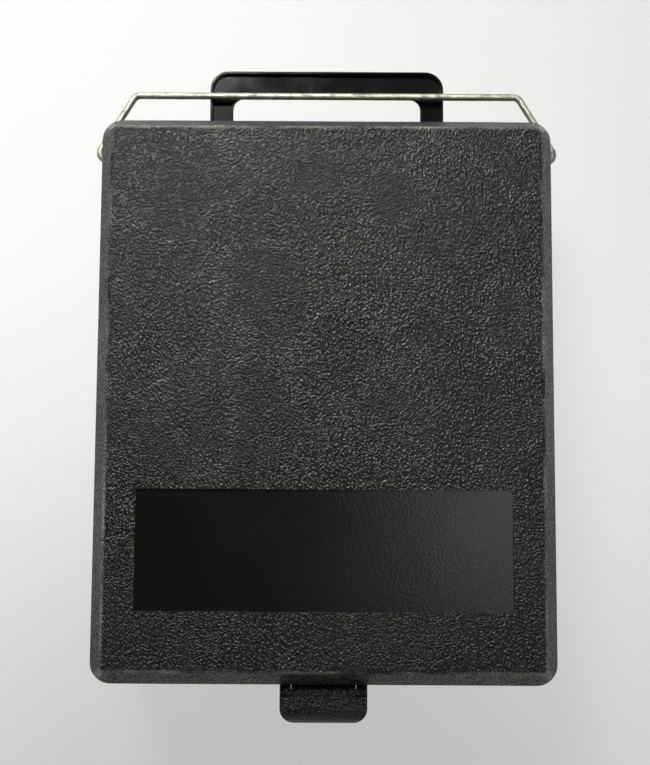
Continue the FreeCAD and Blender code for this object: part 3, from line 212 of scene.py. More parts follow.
across = add(tree, "SeparateXYZ", {0: place}).outputs["X"]
side = add(tree, "MapRange", {"Value": across, "From Min": -SIDE_REACH * MM, "From Max": SIDE_REACH * MM,
                              "To Min": 1 + SIDE_FALL, "To Max": 1 - SIDE_FALL})
pooled = add(tree, "Math", {0: pool, 1: side}, operation="MULTIPLY")
level = add(tree, "Mix", {"Factor": fade, "A": pooled, "B": ROOM_LIGHT})
glow = add(tree, "Math", {0: level, 1: share}, operation="MULTIPLY")
paint = add(tree, "Mix", {"Factor": share, "A": tone, "B": linear("#000000")}, data_type="RGBA")
feed(tree, shader.inputs["Base Color"], paint)
feed(tree, shader.inputs["Emission Color"], ROOM_TONE)
feed(tree, shader.inputs["Emission Strength"], glow)
floor_data.materials.append(table)
print("table nodes:", len(tree.nodes))

# %% [markdown]
# The lamps and the room
# Two lamps stand at the upper left, beyond the handle: one with a narrow spread, and a plain wide one that
# acts as a window and gives the grain its small highlights. A weaker one hangs high on the right. The room
# is pale near the horizon and dim overhead, so that black plastic stays black.

# %% Lamps and world
LAMP_TONE = linear("#FFFFFB")[:3]
# The room's light falls between these heights of the view direction, where 1 is straight up
PALE_UP_TO = 0.02
DIM_FROM = 0.32
OVERHEAD_LIGHT = 0.07


def soft_lamp(name, watts, size, place, aim, spread=180):
    """Adds a square soft lamp that looks from its place towards a point, with its spread in degrees."""
    lamp = bpy.data.lights.new(name, "AREA")
    lamp.energy = watts
    lamp.size = size
    lamp.spread = math.radians(spread)
    lamp.color = LAMP_TONE
    holder = bpy.data.objects.new(name, lamp)
    holder.location = place
    holder.rotation_euler = (Vector(aim) - Vector(place)).to_track_quat("-Z", "Y").to_euler()
    scene.collection.objects.link(holder)


soft_lamp("pool_lamp", watts=0.9, size=0.5, place=(-0.36, 0.85, 1.27), aim=(-0.01, 0.1, 0), spread=31)
soft_lamp("window_lamp", watts=11.0, size=0.5, place=(-0.34, 1.1, 1.1), aim=(0, 0.05, 0))
soft_lamp("ceiling_lamp", watts=2.2, size=0.6, place=(0.42, 0.08, 1.5), aim=(0, 0, 0.1))

world = bpy.data.worlds.new("pale_room")
world.use_nodes = True
scene.world = world
tree = world.node_tree
height = add(tree, "SeparateXYZ", {0: add(tree, "TexCoord").outputs["Generated"]}).outputs["Z"]
level = add(tree, "MapRange", {"Value": height, "From Min": PALE_UP_TO, "From Max": DIM_FROM,
                               "To Min": ROOM_LIGHT, "To Max": OVERHEAD_LIGHT})
background = tree.nodes["Background"]
feed(tree, background.inputs["Color"], ROOM_TONE)
feed(tree, background.inputs["Strength"], level)
print("lamps:", len(bpy.data.lights), "world:", world.name)

# %% [markdown]
# The case plastic
# Lid, base and latch are black ABS, moulded in a tool with a leather grain: pebbles and short wrinkles
# about 1.5 mm long that lean one way in some places and another way elsewhere. Displaced geometry would
# need millions of faces, so the grain is a bump. Two patterns of stretched cells, each turned its own way,
# give the pebbles, and a slow cloud chooses between them. The squared distance from a cell's middle makes
# each pebble a low dome.

# %% Leather grain
GRAIN_CELL = 1.08
GRAIN_BEND = 0.9
GRIT_PART = 0.25
# Each pattern's turn in degrees, and its stretch along the turned axis
GRAIN_WAYS = ((30, 1.4), (78, 1.1))
# The squared distance at which a pebble ends in the valley
DOME_END = 0.45

grained_abs, tree, shader, place = start_finish("leather_grained_abs", IOR=1.45)
bend = add(tree, "TexNoise", {"Vector": place, "Scale": per_metre(4), "Detail": 2.0}).outputs["Color"]
bent = add(tree, "VectorMath", {0: bend, 1: (GRAIN_BEND * MM,) * 3, 2: place}, operation="MULTIPLY_ADD")
pebbles = []
for turn, stretch in GRAIN_WAYS:
    turned = add(tree, "Mapping", {"Vector": bent, "Rotation": (0, 0, math.radians(turn)),
                                   "Scale": (1.0, stretch, 1.0)}, vector_type="TEXTURE")
    pebbles.append(add(tree, "TexVoronoi", {"Vector": turned, "Scale": per_metre(GRAIN_CELL),
                                            "Smoothness": 0.2}, feature="SMOOTH_F1"))
region = add(tree, "TexNoise", {"Vector": place, "Scale": per_metre(48), "Detail": 1.0})
choice = add(tree, "MapRange", {"Value": region, "From Min": 0.42, "From Max": 0.58})
cells = add(tree, "Mix", {"Factor": choice, "A": pebbles[0], "B": pebbles[1]})
squared = add(tree, "Math", {0: cells, 1: cells}, operation="MULTIPLY")
rise = add(tree, "MapRange", {"Value": squared, "From Min": DOME_END, "From Max": 0.0})
grit = add(tree, "TexNoise", {"Vector": place, "Scale": per_metre(0.55), "Detail": 2.0})
relief = add(tree, "Math", {0: grit, 1: GRIT_PART, 2: rise}, operation="MULTIPLY_ADD")
print("grain nodes:", len(tree.nodes))

# %% [markdown]
# Where the grain stops
# The recess on the lid, and all inner faces, were left smooth in the tool, and a mask on object coordinates
# takes the grain away there. The distance from the middle of a rectangle, less half its size, is below zero
# inside it. The larger of the two directions tells whether a point lies within the rectangle, and the
# height keeps the lid's inner face apart from the recess above it. The sizes, in mm, follow the CAD part,
# and the limits of its inner faces lie within the thickness of its walls.

# %% Smooth mask
LID_FACE = 99.0
RECESS_MIDDLE = (0, -74.7)
RECESS_HALF = (89.75, 28.85)
RECESS_EDGE = -0.05
RECESS_REACH = 1.9
INNER_HALF = (110.3, 136.8)
INNER_TOP = LID_FACE - 2.0
INNER_FLOOR = 1.5
BASE_TOP = 74.1
BASE_STEP = 2.4
SLOPE_FOOT = 85.0
INNER_SLOPE = 0.375

axes = add(tree, "SeparateXYZ", {0: place}).outputs
up = axes["Z"]


def outside_of(half, middle=(0, 0)):
    """Gives how far, in metres, a point lies outside a level rectangle, below zero within it."""
    gaps = []
    for axis, size, shift in zip(("X", "Y"), half, middle):
        off = add(tree, "Math", {0: axes[axis], 1: shift * MM}, operation="SUBTRACT")
        distance = add(tree, "Math", {0: off}, operation="ABSOLUTE")
        gaps.append(add(tree, "Math", {0: distance, 1: size * MM}, operation="SUBTRACT"))
    return add(tree, "Math", {0: gaps[0], 1: gaps[1]}, operation="MAXIMUM")


recess_gap = outside_of(RECESS_HALF, RECESS_MIDDLE)
in_recess = add(tree, "Math", {0: recess_gap, 1: RECESS_EDGE * MM}, operation="LESS_THAN")
near_face = add(tree, "Math", {0: up, 1: (LID_FACE - RECESS_REACH) * MM}, operation="GREATER_THAN")
recess = add(tree, "Math", {0: in_recess, 1: near_face}, operation="MULTIPLY")

in_base = add(tree, "Math", {0: up, 1: BASE_TOP * MM}, operation="LESS_THAN")
stepped = add(tree, "Math", {0: in_base, 1: BASE_STEP * MM, 2: outside_of(INNER_HALF)},
              operation="MULTIPLY_ADD")
climb = add(tree, "Math", {0: up, 1: SLOPE_FOOT * MM}, operation="SUBTRACT")
climbed = add(tree, "Math", {0: climb, 1: 0.0}, operation="MAXIMUM")
inner_gap = add(tree, "Math", {0: climbed, 1: INNER_SLOPE, 2: stepped}, operation="MULTIPLY_ADD")
in_walls = add(tree, "Math", {0: inner_gap, 1: 0.0}, operation="LESS_THAN")
under_top = add(tree, "Math", {0: up, 1: INNER_TOP * MM}, operation="LESS_THAN")
over_floor = add(tree, "Math", {0: up, 1: INNER_FLOOR * MM}, operation="GREATER_THAN")
hollow = add(tree, "Math", {0: under_top, 1: over_floor}, operation="MULTIPLY")
inner = add(tree, "Math", {0: hollow, 1: in_walls}, operation="MULTIPLY")
smooth = add(tree, "Math", {0: recess, 1: inner}, operation="MAXIMUM")
grained = add(tree, "Math", {0: 1.0, 1: smooth}, operation="SUBTRACT")
print("nodes with the mask:", len(tree.nodes))

# %% [markdown]
# Wear, scratches and a darker patch
# Handling wears the crease between the lid's face and its slopes and leaves pale scratches that lean across
# the face, and a streaky patch above its middle is darker. Each is a pattern from 0 to 1: a band along the
# crease where a cloud says that it was rubbed, noise that is stretched into thin lines and kept to the tops
# of the pebbles, and noise in lying streaks that fades out round the patch.

# %% Wear patterns and the darker patch
CREASE_HALF = (105.0, 131.5)
CREASE_CORE = 0.1
CREASE_REACH = 1.3
CREASE_FOOT = 94
CREASE_TOP = 98
SCRATCH_TURN = 30
SCRATCH_STRETCH = 14.0
STREAK_STRETCH = 5.0
PATCH_MIDDLE = (8.0, 64.0, LID_FACE)
PATCH_CORE = 10
PATCH_REACH = 70.0
PALE_SHARE = 0.7

crease_gap = outside_of(CREASE_HALF)
crease_away = add(tree, "Math", {0: crease_gap}, operation="ABSOLUTE")
crease_band = add(tree, "MapRange", {"Value": crease_away, "From Min": CREASE_REACH * MM,
                                     "From Max": CREASE_CORE * MM})
crease_high = add(tree, "MapRange", {"Value": up, "From Min": CREASE_FOOT * MM, "From Max": CREASE_TOP * MM})
rub = add(tree, "TexNoise", {"Vector": place, "Scale": per_metre(22), "Detail": 4.0})
rubbed = add(tree, "MapRange", {"Value": rub, "From Min": 0.4, "From Max": 0.66})
crease = add(tree, "Math", {0: crease_band, 1: crease_high}, operation="MULTIPLY")
crease_wear = add(tree, "Math", {0: crease, 1: rubbed}, operation="MULTIPLY")

scratch_way = add(tree, "Mapping", {"Vector": place, "Rotation": (0, 0, math.radians(SCRATCH_TURN)),
                                    "Scale": (1.0, SCRATCH_STRETCH, 1.0)}, vector_type="TEXTURE")
scratch = add(tree, "TexNoise", {"Vector": scratch_way, "Scale": per_metre(0.75), "Detail": 1.0})
scratched = add(tree, "MapRange", {"Value": scratch, "From Min": 0.67, "From Max": 0.76})
scuff = add(tree, "Math", {0: scratched, 1: rise}, operation="MULTIPLY")
scuffed = add(tree, "Math", {0: scuff, 1: rubbed}, operation="MULTIPLY")
pale = add(tree, "Math", {0: scuffed, 1: crease_wear}, operation="MAXIMUM")
pale_part = add(tree, "Math", {0: pale, 1: PALE_SHARE}, operation="MULTIPLY")

patch_away = add(tree, "VectorMath", {0: place, 1: Vector(PATCH_MIDDLE) * MM}, operation="DISTANCE")
patch_near = add(tree, "MapRange", {"Value": patch_away, "From Min": PATCH_REACH * MM,
                                    "From Max": PATCH_CORE * MM}, interpolation_type="SMOOTHSTEP")
streak_way = add(tree, "Mapping", {"Vector": place, "Scale": (STREAK_STRETCH, 1.0, 1.0)},
                 vector_type="TEXTURE")
streak = add(tree, "TexNoise", {"Vector": streak_way, "Scale": per_metre(4.5), "Detail": 3.0})
streaked = add(tree, "MapRange", {"Value": streak, "From Min": 0.42, "From Max": 0.62})
patch = add(tree, "Math", {0: patch_near, 1: streaked}, operation="MULTIPLY")
print("nodes with the wear:", len(tree.nodes))

# %% [markdown]
# Colour of the case
# Black ABS greys a little with age, so pebble tops are olive grey; valleys are painted near black as shade.
# Browner clouds, the dark patch and the pale marks follow. Each is a mix between two colours by one
# pattern, and the smooth faces, which have no pebbles, come last.

# %% Case colours
CLOUD_SHARE = 0.55

# Painted shade: the valleys between the pebbles are near black; the olive grey of the tops is aged plastic
aged_tops_valley_shade = add(tree, "Mix", {"Factor": rise, "A": linear("#040301"), "B": linear("#262510")}, data_type="RGBA")
cloud = add(tree, "TexNoise", {"Vector": place, "Scale": per_metre(70), "Detail": 3.0})
cloudy = add(tree, "MapRange", {"Value": cloud, "From Min": 0.4, "From Max": 0.66, "To Max": CLOUD_SHARE})
aged = add(tree, "Mix", {"Factor": cloudy, "A": aged_tops_valley_shade, "B": linear("#120E08")}, data_type="RGBA")
# The lid is darker in a streaky patch above its middle
patch_darkened = add(tree, "Mix", {"Factor": patch, "A": aged, "B": linear("#040302")}, data_type="RGBA")
worn = add(tree, "Mix", {"Factor": pale_part, "A": patch_darkened, "B": linear("#8C8A7C")}, data_type="RGBA")
moulded = add(tree, "Mix", {"Factor": smooth, "A": worn, "B": linear("#070606")}, data_type="RGBA")
feed(tree, shader.inputs["Base Color"], moulded)
print("nodes with the colours:", len(tree.nodes))

# %% [markdown]
# Gloss and bump of the case
# The grain shines a little less where the clouds are, and smooth faces shine more. On the lid's slopes,
# which the photo shows at a flat angle, real pebbles hide the valleys behind them. A bump cannot do that,
# so there the valleys mirror less than the tops. The bump is as deep as the grain, with only a trace on
# smooth faces.

# %% Case gloss and bump
GRAIN_GLOSS = (0.3, 0.42)
RECESS_GLOSS = (0.2, 0.27)
SLOPE_WIDTH = 7.3
FACE_SHINE = 0.5
VALLEY_SHINE = 0.07
TOP_SHINE = 0.8
GRAIN_DEPTH = 0.35
SMOOTH_BUMP = 0.06

grain_gloss = add(tree, "MapRange", {"Value": cloud, "From Min": 0.35, "From Max": 0.65,
                                     "To Min": GRAIN_GLOSS[0], "To Max": GRAIN_GLOSS[1]})
recess_gloss = add(tree, "MapRange", {"Value": cloud, "From Min": 0.3, "From Max": 0.7,
                                      "To Min": RECESS_GLOSS[0], "To Max": RECESS_GLOSS[1]})
gloss = add(tree, "Mix", {"Factor": smooth, "A": grain_gloss, "B": recess_gloss})
feed(tree, shader.inputs["Roughness"], gloss)

beyond_crease = add(tree, "Math", {0: crease_gap, 1: SLOPE_WIDTH / 2 * MM, 2: SLOPE_WIDTH / 2 * MM},
                    operation="COMPARE")
over_foot = add(tree, "Math", {0: up, 1: SLOPE_FOOT * MM}, operation="GREATER_THAN")
on_slope = add(tree, "Math", {0: beyond_crease, 1: over_foot}, operation="MULTIPLY")
slope_shine = add(tree, "MapRange", {"Value": rise, "From Min": 0.25, "From Max": 0.95,
                                     "To Min": VALLEY_SHINE, "To Max": TOP_SHINE})
shine = add(tree, "Mix", {"Factor": on_slope, "A": FACE_SHINE, "B": slope_shine})
feed(tree, shader.inputs["Specular IOR Level"], shine)

bump_part = add(tree, "MapRange", {"Value": grained, "To Min": SMOOTH_BUMP, "To Max": 1.0})
bump = add(tree, "Bump", {"Strength": bump_part, "Distance": GRAIN_DEPTH * MM, "Height": relief})
feed(tree, shader.inputs["Normal"], bump)
print("leather-grained ABS has", len(tree.nodes), "nodes")

# %% [markdown]
# The plain mouldings and metals
# Most small parts have one even material with slight marks: a cloud in the colour, finger marks in the
# gloss and a fine texture from the tool or the plating. One recipe covers them, and every part passes its
# own two colours, its range of roughness and the sizes of its cloud and its grit, in mm.

# %% Recipe for an even finish
def even_finish(name, dark, light, cloud_mm, gloss, grit_mm, grit_depth, stretch=(1, 1, 1), **constants):
    """Makes a finish whose colour, gloss and fine bump vary a little over the surface."""
    material, tree, shader, place = start_finish(name, **constants)
    along = add(tree, "Mapping", {"Vector": place, "Scale": stretch})
    cloud = add(tree, "TexNoise", {"Vector": along, "Scale": per_metre(cloud_mm), "Detail": 4.0})
    spread = add(tree, "MapRange", {"Value": cloud, "From Min": 0.3, "From Max": 0.7})
    colour = add(tree, "Mix", {"Factor": spread, "A": linear(dark), "B": linear(light)}, data_type="RGBA")
    shine = add(tree, "MapRange", {"Value": spread, "To Min": gloss[0], "To Max": gloss[1]})
    grit = add(tree, "TexNoise", {"Vector": along, "Scale": per_metre(grit_mm), "Detail": 2.0})
    bump = add(tree, "Bump", {"Height": grit, "Distance": grit_depth * MM, "Strength": 0.6})
    feed(tree, shader.inputs["Base Color"], colour)
    feed(tree, shader.inputs["Roughness"], shine)
    feed(tree, shader.inputs["Normal"], bump)
    return material


finishes = {"grained_plastic": grained_abs}
print("finishes so far:", list(finishes))

# %% [markdown]
# Plastics, card and board
# The handle came from a polished tool. Knobs, sockets and blocks are phenolic, tips and buttons are urea,
# and the dial, the coil and the board are paper in one form or another. None of them is a metal, so all
# keep a plain colour under a clear reflection.

# %% Finishes of plastic and paper
finishes.update({
    # Polished-tool ABS of the handle: smooth, with soft finger marks
    "satin_plastic": even_finish("satin_abs", "#060605", "#0C0C09", cloud_mm=14, gloss=(0.1, 0.17),
                                 grit_mm=0.8, grit_depth=0.03, IOR=1.47),
    # Phenolic mouldings: black with a faint brown cloud, polished
    "black_phenolic": even_finish("black_phenolic", "#12100E", "#1E1A17", cloud_mm=6, gloss=(0.2, 0.34),
                                  grit_mm=0.6, grit_depth=0.01, IOR=1.6),
    # Cream card of the dial: matt, with a faint mottle
    "dial_card": even_finish("dial_card", "#E4DCC2", "#EFE9D4", cloud_mm=8, gloss=(0.7, 0.85),
                             grit_mm=0.35, grit_depth=0.02),
    # Needle lacquer: thin, black and half matt
    "needle_paint": even_finish("needle_lacquer", "#151515", "#202020", cloud_mm=3, gloss=(0.35, 0.5),
                                grit_mm=0.3, grit_depth=0.005),
    # Urea mouldings of the slider tips: yellowed
    "ivory_plastic": even_finish("ivory_urea", "#D9CDAE", "#E6DCC2", cloud_mm=3, gloss=(0.28, 0.4),
                                 grit_mm=0.5, grit_depth=0.01, IOR=1.55),
    # Urea mouldings of the buttons: glossy from fingers, one red and one black
    "red_button": even_finish("red_urea", "#8F1712", "#A8211A", cloud_mm=3, gloss=(0.22, 0.32),
                              grit_mm=0.5, grit_depth=0.01, IOR=1.55),
    "black_button": even_finish("black_urea", "#15130F", "#211E1A", cloud_mm=3, gloss=(0.22, 0.32),
                                grit_mm=0.5, grit_depth=0.01, IOR=1.55),
    # Varnished paper wrap of the transformer winding: amber, with upright streaks
    "coil_wrap": even_finish("varnished_paper", "#8A6A38", "#A58450", cloud_mm=7, gloss=(0.4, 0.55),
                             grit_mm=0.4, grit_depth=0.04, stretch=(1, 1, 0.2)),
    # Paper-phenolic circuit board: brown and faintly mottled
    "board": even_finish("paper_phenolic_board", "#7D5A2E", "#91703F", cloud_mm=3, gloss=(0.4, 0.55),
                         grit_mm=0.4, grit_depth=0.02, IOR=1.55),
    # Moulded resistor bodies: dull brown
    "resistor_body": even_finish("moulded_resistor", "#6A4A30", "#7C5A3C", cloud_mm=2, gloss=(0.4, 0.5),
                                 grit_mm=0.4, grit_depth=0.01),
})
print("finishes so far:", len(finishes))

# %% [markdown]
# Metals
# A metal shows its colour in its reflection alone, so these have full Metallic, and the roughness tells how
# each was made: chrome is nearly a mirror, turned parts are satin, and bare iron is dull. Stretching the
# pattern along one axis gives the brush lines of the panel.

# %% Finishes of metal
finishes.update({
    # Zinc plate on pressed steel: grey, faintly mottled
    "plated_steel": even_finish("zinc_plated_steel", "#9A9A92", "#C2C2BA", cloud_mm=4, gloss=(0.32, 0.48),
                                grit_mm=0.5, grit_depth=0.02, Metallic=1.0),
    # Turned brass eyelets and bushes: slightly tarnished
    "brass": even_finish("turned_brass", "#A98A4C", "#D2B26C", cloud_mm=3, gloss=(0.24, 0.4),
                         grit_mm=0.4, grit_depth=0.01, Metallic=1.0),
    # Lathe-turned aluminium of the shafts and straighteners: bright, with fine rings
    "turned_aluminium": even_finish("turned_aluminium", "#B4B5B6", "#D0D1D2", cloud_mm=3, gloss=(0.25, 0.36),
                                    grit_mm=0.4, grit_depth=0.01, stretch=(0.3, 0.3, 3), Metallic=1.0),
    # Brushed and anodised panel sheet: grey, with the brush lines across the case
    "panel_aluminium": even_finish("brushed_anodised_panel", "#808281", "#979998", cloud_mm=9,
                                   gloss=(0.42, 0.5), grit_mm=0.35, grit_depth=0.03, stretch=(0.02, 1, 1),
                                   Metallic=1.0),
    # Bright chrome plate of the bezels and bushes
    "chrome": even_finish("chrome_plate", "#C6C8CA", "#DADCDD", cloud_mm=3, gloss=(0.06, 0.14),
                          grit_mm=0.4, grit_depth=0.004, Metallic=1.0),
    # Bare iron of the magnet and core: dull and a little dark with age
    "magnet_iron": even_finish("bare_iron", "#66676A", "#7B7A79", cloud_mm=5, gloss=(0.42, 0.6),
                               grit_mm=0.5, grit_depth=0.05, Metallic=1.0),
    # Drawn aluminium cans of the capacitors: soft grey
    "capacitor_sleeve": even_finish("drawn_aluminium_can", "#A6A7AA", "#BFC0C2", cloud_mm=4,
                                    gloss=(0.3, 0.42), grit_mm=0.4, grit_depth=0.01, Metallic=1.0),
})
print("finishes so far:", len(finishes))

# %% [markdown]
# The wire bail
# The bail is drawn steel wire with a dull zinc plate. Years of handling left dark stains along it and
# brighter rubbed stretches between them, and the plate is a little uneven. It differs from the plated sheet
# parts, so it gets its own finish.

# %% Stained zinc wire
WIRE_GLOSS = (0.52, 0.68)

wire, tree, shader, place = start_finish("stained_zinc_wire", Metallic=1.0)
stain = add(tree, "TexNoise", {"Vector": place, "Scale": per_metre(7), "Detail": 5.0, "Roughness": 0.65})
stained = add(tree, "MapRange", {"Value": stain, "From Min": 0.46, "From Max": 0.68})
colour = add(tree, "Mix", {"Factor": stained, "A": linear("#BEBEB0"), "B": linear("#7C7A6E")},
             data_type="RGBA")
dull = add(tree, "MapRange", {"Value": stained, "To Min": WIRE_GLOSS[0], "To Max": WIRE_GLOSS[1]})
uneven = add(tree, "TexNoise", {"Vector": place, "Scale": per_metre(0.6), "Detail": 3.0})
bump = add(tree, "Bump", {"Height": uneven, "Distance": 0.03 * MM, "Strength": 0.5})
feed(tree, shader.inputs["Base Color"], colour)
feed(tree, shader.inputs["Roughness"], dull)
feed(tree, shader.inputs["Normal"], bump)
print("wire finish:", wire.name)

# %% [markdown]
# Glass and lamp lenses
# The meter window is clear glass, and the lamp lenses are coloured moulded acrylic. Light has to pass
# through them, so they use transmission on the shader itself, with a low roughness for glass and a little
# more for acrylic.

# %% Clear and coloured lenses
def lens_finish(name, dark, light, roughness, ior, passes):
    """Makes a see-through finish with a slight cloud in its colour."""
    material, tree, shader, place = start_finish(name, Roughness=roughness, IOR=ior,
                                                 Transmission_Weight=passes)
    haze = add(tree, "TexNoise", {"Vector": place, "Scale": per_metre(2.5), "Detail": 2.0})
    colour = add(tree, "Mix", {"Factor": haze, "A": linear(dark), "B": linear(light)}, data_type="RGBA")
    feed(tree, shader.inputs["Base Color"], colour)
    return material


finishes.update({
    # Flat window glass: clear, with a trace of green
    "clear_glass": lens_finish("window_glass", "#F4F8F6", "#FCFEFD", roughness=0.02, ior=1.46, passes=1.0),
    # Moulded acrylic: half clear, so that the lens glows in its colour
    "red_lens": lens_finish("red_acrylic", "#B0140C", "#D2281A", roughness=0.08, ior=1.49, passes=0.55),
    "amber_lens": lens_finish("amber_acrylic", "#C86A10", "#E08A26", roughness=0.08, ior=1.49, passes=0.55),
})
print("finishes in all:", len(finishes))

# %% [markdown]
# Dressing the CAD nodes
# Each CAD node came with a plain material named after its finish. Its shape is right, so it stays, and only
# the material in its slot is exchanged.

# %% Exchange the materials
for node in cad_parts.values():
    for slot in node.material_slots:
        slot.material = finishes[slot.material.name]
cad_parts["bail"].material_slots[0].material = wire
print("dressed", len(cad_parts), "nodes")

# %% [markdown]
# From a bmesh to a piece
# Every new piece is built as a bmesh, gets one finish and rides on a body of the frame. One function does
# that, and a second one finds the middle of a CAD node, because new pieces take their places from the
# nodes.

# %% Helpers for pieces
def new_piece(name, mesh, material, body, smooth_faces=True):
    """Turns a bmesh into a finished piece that rides on a body."""
    for face in mesh.faces:
        face.smooth = smooth_faces
    data = bpy.data.meshes.new(name)
    mesh.to_mesh(data)
    mesh.free()
    data.materials.append(material)
    piece = bpy.data.objects.new(name, data)
    scene.collection.objects.link(piece)
    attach(piece, body)
    return piece


def middle_of(name):
    """Gives the middle of a node, seen from above, in mm."""
    low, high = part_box(name)
    return (low.x + high.x) / 2 / MM, (low.y + high.y) / 2 / MM


print("panel's middle in mm:", [round(v, 1) for v in middle_of("panel")])

# %% [markdown]
# The selector knobs
# A test panel of this age has black phenolic knobs: a round skirt that covers the bush, a fluted grip for
# the fingers and an ivory line that points at a number. The skirt is a profile spun once round. The grip
# starts as a circle whose points are drawn in to make the flutes, and is extruded upwards ring by ring. The
# line is two thin bars, one on the grip and one on the skirt.

# %% Skirt, grip and bar
# The skirt's profile: radius and height in mm
SKIRT = ((0, 0), (14.5, 0), (15, 0.4), (15, 1.5), (14.4, 2.4), (12.6, 2.9), (10.6, 3.1), (0, 3.1))
SKIRT_STEPS = 72
# The grip's rings: height in mm and size as a part of the grip's radius
GRIP_RINGS = ((3.0, 1.0), (4.2, 0.985), (11.8, 0.925), (13.6, 0.895), (14.4, 0.84), (14.8, 0.76))
GRIP_RADIUS = 10.5
FLUTES = 14
FLUTE_POINTS = 8
FLUTE_DEPTH = 0.08
FLUTE_POWER = 1.5
MERGE_GAP = 0.002
BEVEL_PART = 0.3


def spun(mesh, profile, steps):
    """Spins a chain of radius and height points, in mm, once round the Z axis."""
    chain = [mesh.verts.new((radius * MM, 0, height * MM)) for radius, height in profile]
    edges = [mesh.edges.new(pair) for pair in zip(chain, chain[1:])]
    bmesh.ops.spin(mesh, geom=chain + edges, cent=(0, 0, 0), axis=(0, 0, 1), dvec=(0, 0, 0),
                   angle=2 * math.pi, steps=steps, use_merge=True)
    bmesh.ops.remove_doubles(mesh, verts=mesh.verts, dist=MERGE_GAP * MM)
    bmesh.ops.recalc_face_normals(mesh, faces=mesh.faces)


def fluted_grip(mesh):
    """Adds the fluted grip, extruded ring by ring from a scalloped circle."""
    ring = bmesh.ops.create_circle(mesh, segments=FLUTES * FLUTE_POINTS, radius=GRIP_RADIUS * MM)["verts"]
    for vert in ring:
        turn = math.atan2(vert.co.y, vert.co.x)
        vert.co.xy *= 1 - FLUTE_DEPTH * max(0, math.cos(FLUTES * turn)) ** FLUTE_POWER
    base_height, base_scale = GRIP_RINGS[0]
    bmesh.ops.translate(mesh, verts=ring, vec=(0, 0, base_height * MM))
    edges = list({edge for vert in ring for edge in vert.link_edges})
    for height, scale in GRIP_RINGS[1:]:
        made = bmesh.ops.extrude_edge_only(mesh, edges=edges)["geom"]
        verts = [item for item in made if isinstance(item, bmesh.types.BMVert)]
        edges = [item for item in made if isinstance(item, bmesh.types.BMEdge)]
        bmesh.ops.translate(mesh, verts=verts, vec=(0, 0, (height - base_height) * MM))
        bmesh.ops.scale(mesh, verts=verts, vec=(scale / base_scale, scale / base_scale, 1))
        base_height, base_scale = height, scale
    bmesh.ops.contextual_create(mesh, geom=edges)
    bmesh.ops.recalc_face_normals(mesh, faces=mesh.faces)


def bar(mesh, low, high):
    """Adds a box with softened edges between two corners given in mm."""
    sides = [(b - a) * MM for a, b in zip(low, high)]
    middle = [(a + b) / 2 * MM for a, b in zip(low, high)]
    made = bmesh.ops.create_cube(mesh, size=1)["verts"]
    bmesh.ops.scale(mesh, verts=made, vec=sides)
    bmesh.ops.translate(mesh, verts=made, vec=middle)
    edges = list({edge for vert in made for edge in vert.link_edges})
    bmesh.ops.bevel(mesh, geom=edges, offset=min(sides) * BEVEL_PART, affect="EDGES", segments=2, profile=0.5,
                    material=-1)


print("knob shapes: skirt of", len(SKIRT), "points, grip with", FLUTES, "flutes")

# %% [markdown]
# Four equal knobs
# The four knobs share one recipe and take their places from the CAD knobs that they stand for. A knob
# replaces its CAD node in the render, and its pointer is a second piece, because it has another finish.

# %% Knobs and pointers
SELECTORS = ("heater", "bias", "load", "line")
# Two opposite corners of each bar, in mm from the knob's seat
GRIP_LINE = ((-0.6, 1.5, 14.5), (0.6, 8.0, 14.95))
SKIRT_LINE = ((-0.6, 10.9, 2.4), (0.6, 14.3, 3.1))

for name in SELECTORS:
    low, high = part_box("knob_" + name)
    seat = Vector(((low.x + high.x) / 2, (low.y + high.y) / 2, low.z))
    form = bmesh.new()
    spun(form, SKIRT, SKIRT_STEPS)
    fluted_grip(form)
    bmesh.ops.translate(form, verts=form.verts, vec=seat)
    knob = new_piece("fluted_knob_" + name, form, finishes["black_phenolic"], "selector_" + name)
    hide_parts("knob_" + name)
    pointer = bmesh.new()
    bar(pointer, *GRIP_LINE)
    bar(pointer, *SKIRT_LINE)
    bmesh.ops.translate(pointer, verts=pointer.verts, vec=seat)
    new_piece("knob_pointer_" + name, pointer, finishes["ivory_plastic"], "selector_" + name,
              False)
    print("knob", name, "at", [round(v / MM, 1) for v in seat])

# %% [markdown]
# Printed marks
# Test panels are silk-screened: a thin film of ink, with numbers round every selector, a number by each
# slider and plain words at the power switch. Each mark is a flat shape a few hundredths of a millimetre
# thick. Text starts as a font curve and is made a mesh before it goes to its place, and rings and lines are
# spun or stretched.

# %% Inks and helpers for marks
INK = 0.05
INK_SHADES = {"black": ("#161616", "#232323"), "red": ("#8E1E16", "#A02A20"), "green": ("#2C6A3C", "#387A48")}
ARC_STEP = 4

# Screen ink: half matt and nearly even
inks = {}
for name, (dark, light) in INK_SHADES.items():
    inks[name] = even_finish(name + "_screen_ink", dark, light, cloud_mm=4, gloss=(0.5, 0.65),
                             grit_mm=0.3, grit_depth=0.005)


def print_words(mesh, words, size, x, y, z):
    """Adds a word or a number as a thin film, centred on a point given in mm."""
    curve = bpy.data.curves.new("print", "FONT")
    curve.body = words
    curve.size = size * MM
    curve.align_x = "CENTER"
    curve.align_y = "CENTER"
    curve.resolution_u = 3
    curve.extrude = INK / 2 * MM
    holder = bpy.data.objects.new("print", curve)
    flat = bpy.data.meshes.new_from_object(holder)
    flat.transform(Matrix.Translation(Vector((x, y, z + INK / 2)) * MM))
    mesh.from_mesh(flat)
    bpy.data.objects.remove(holder)
    bpy.data.curves.remove(curve)
    bpy.data.meshes.remove(flat)


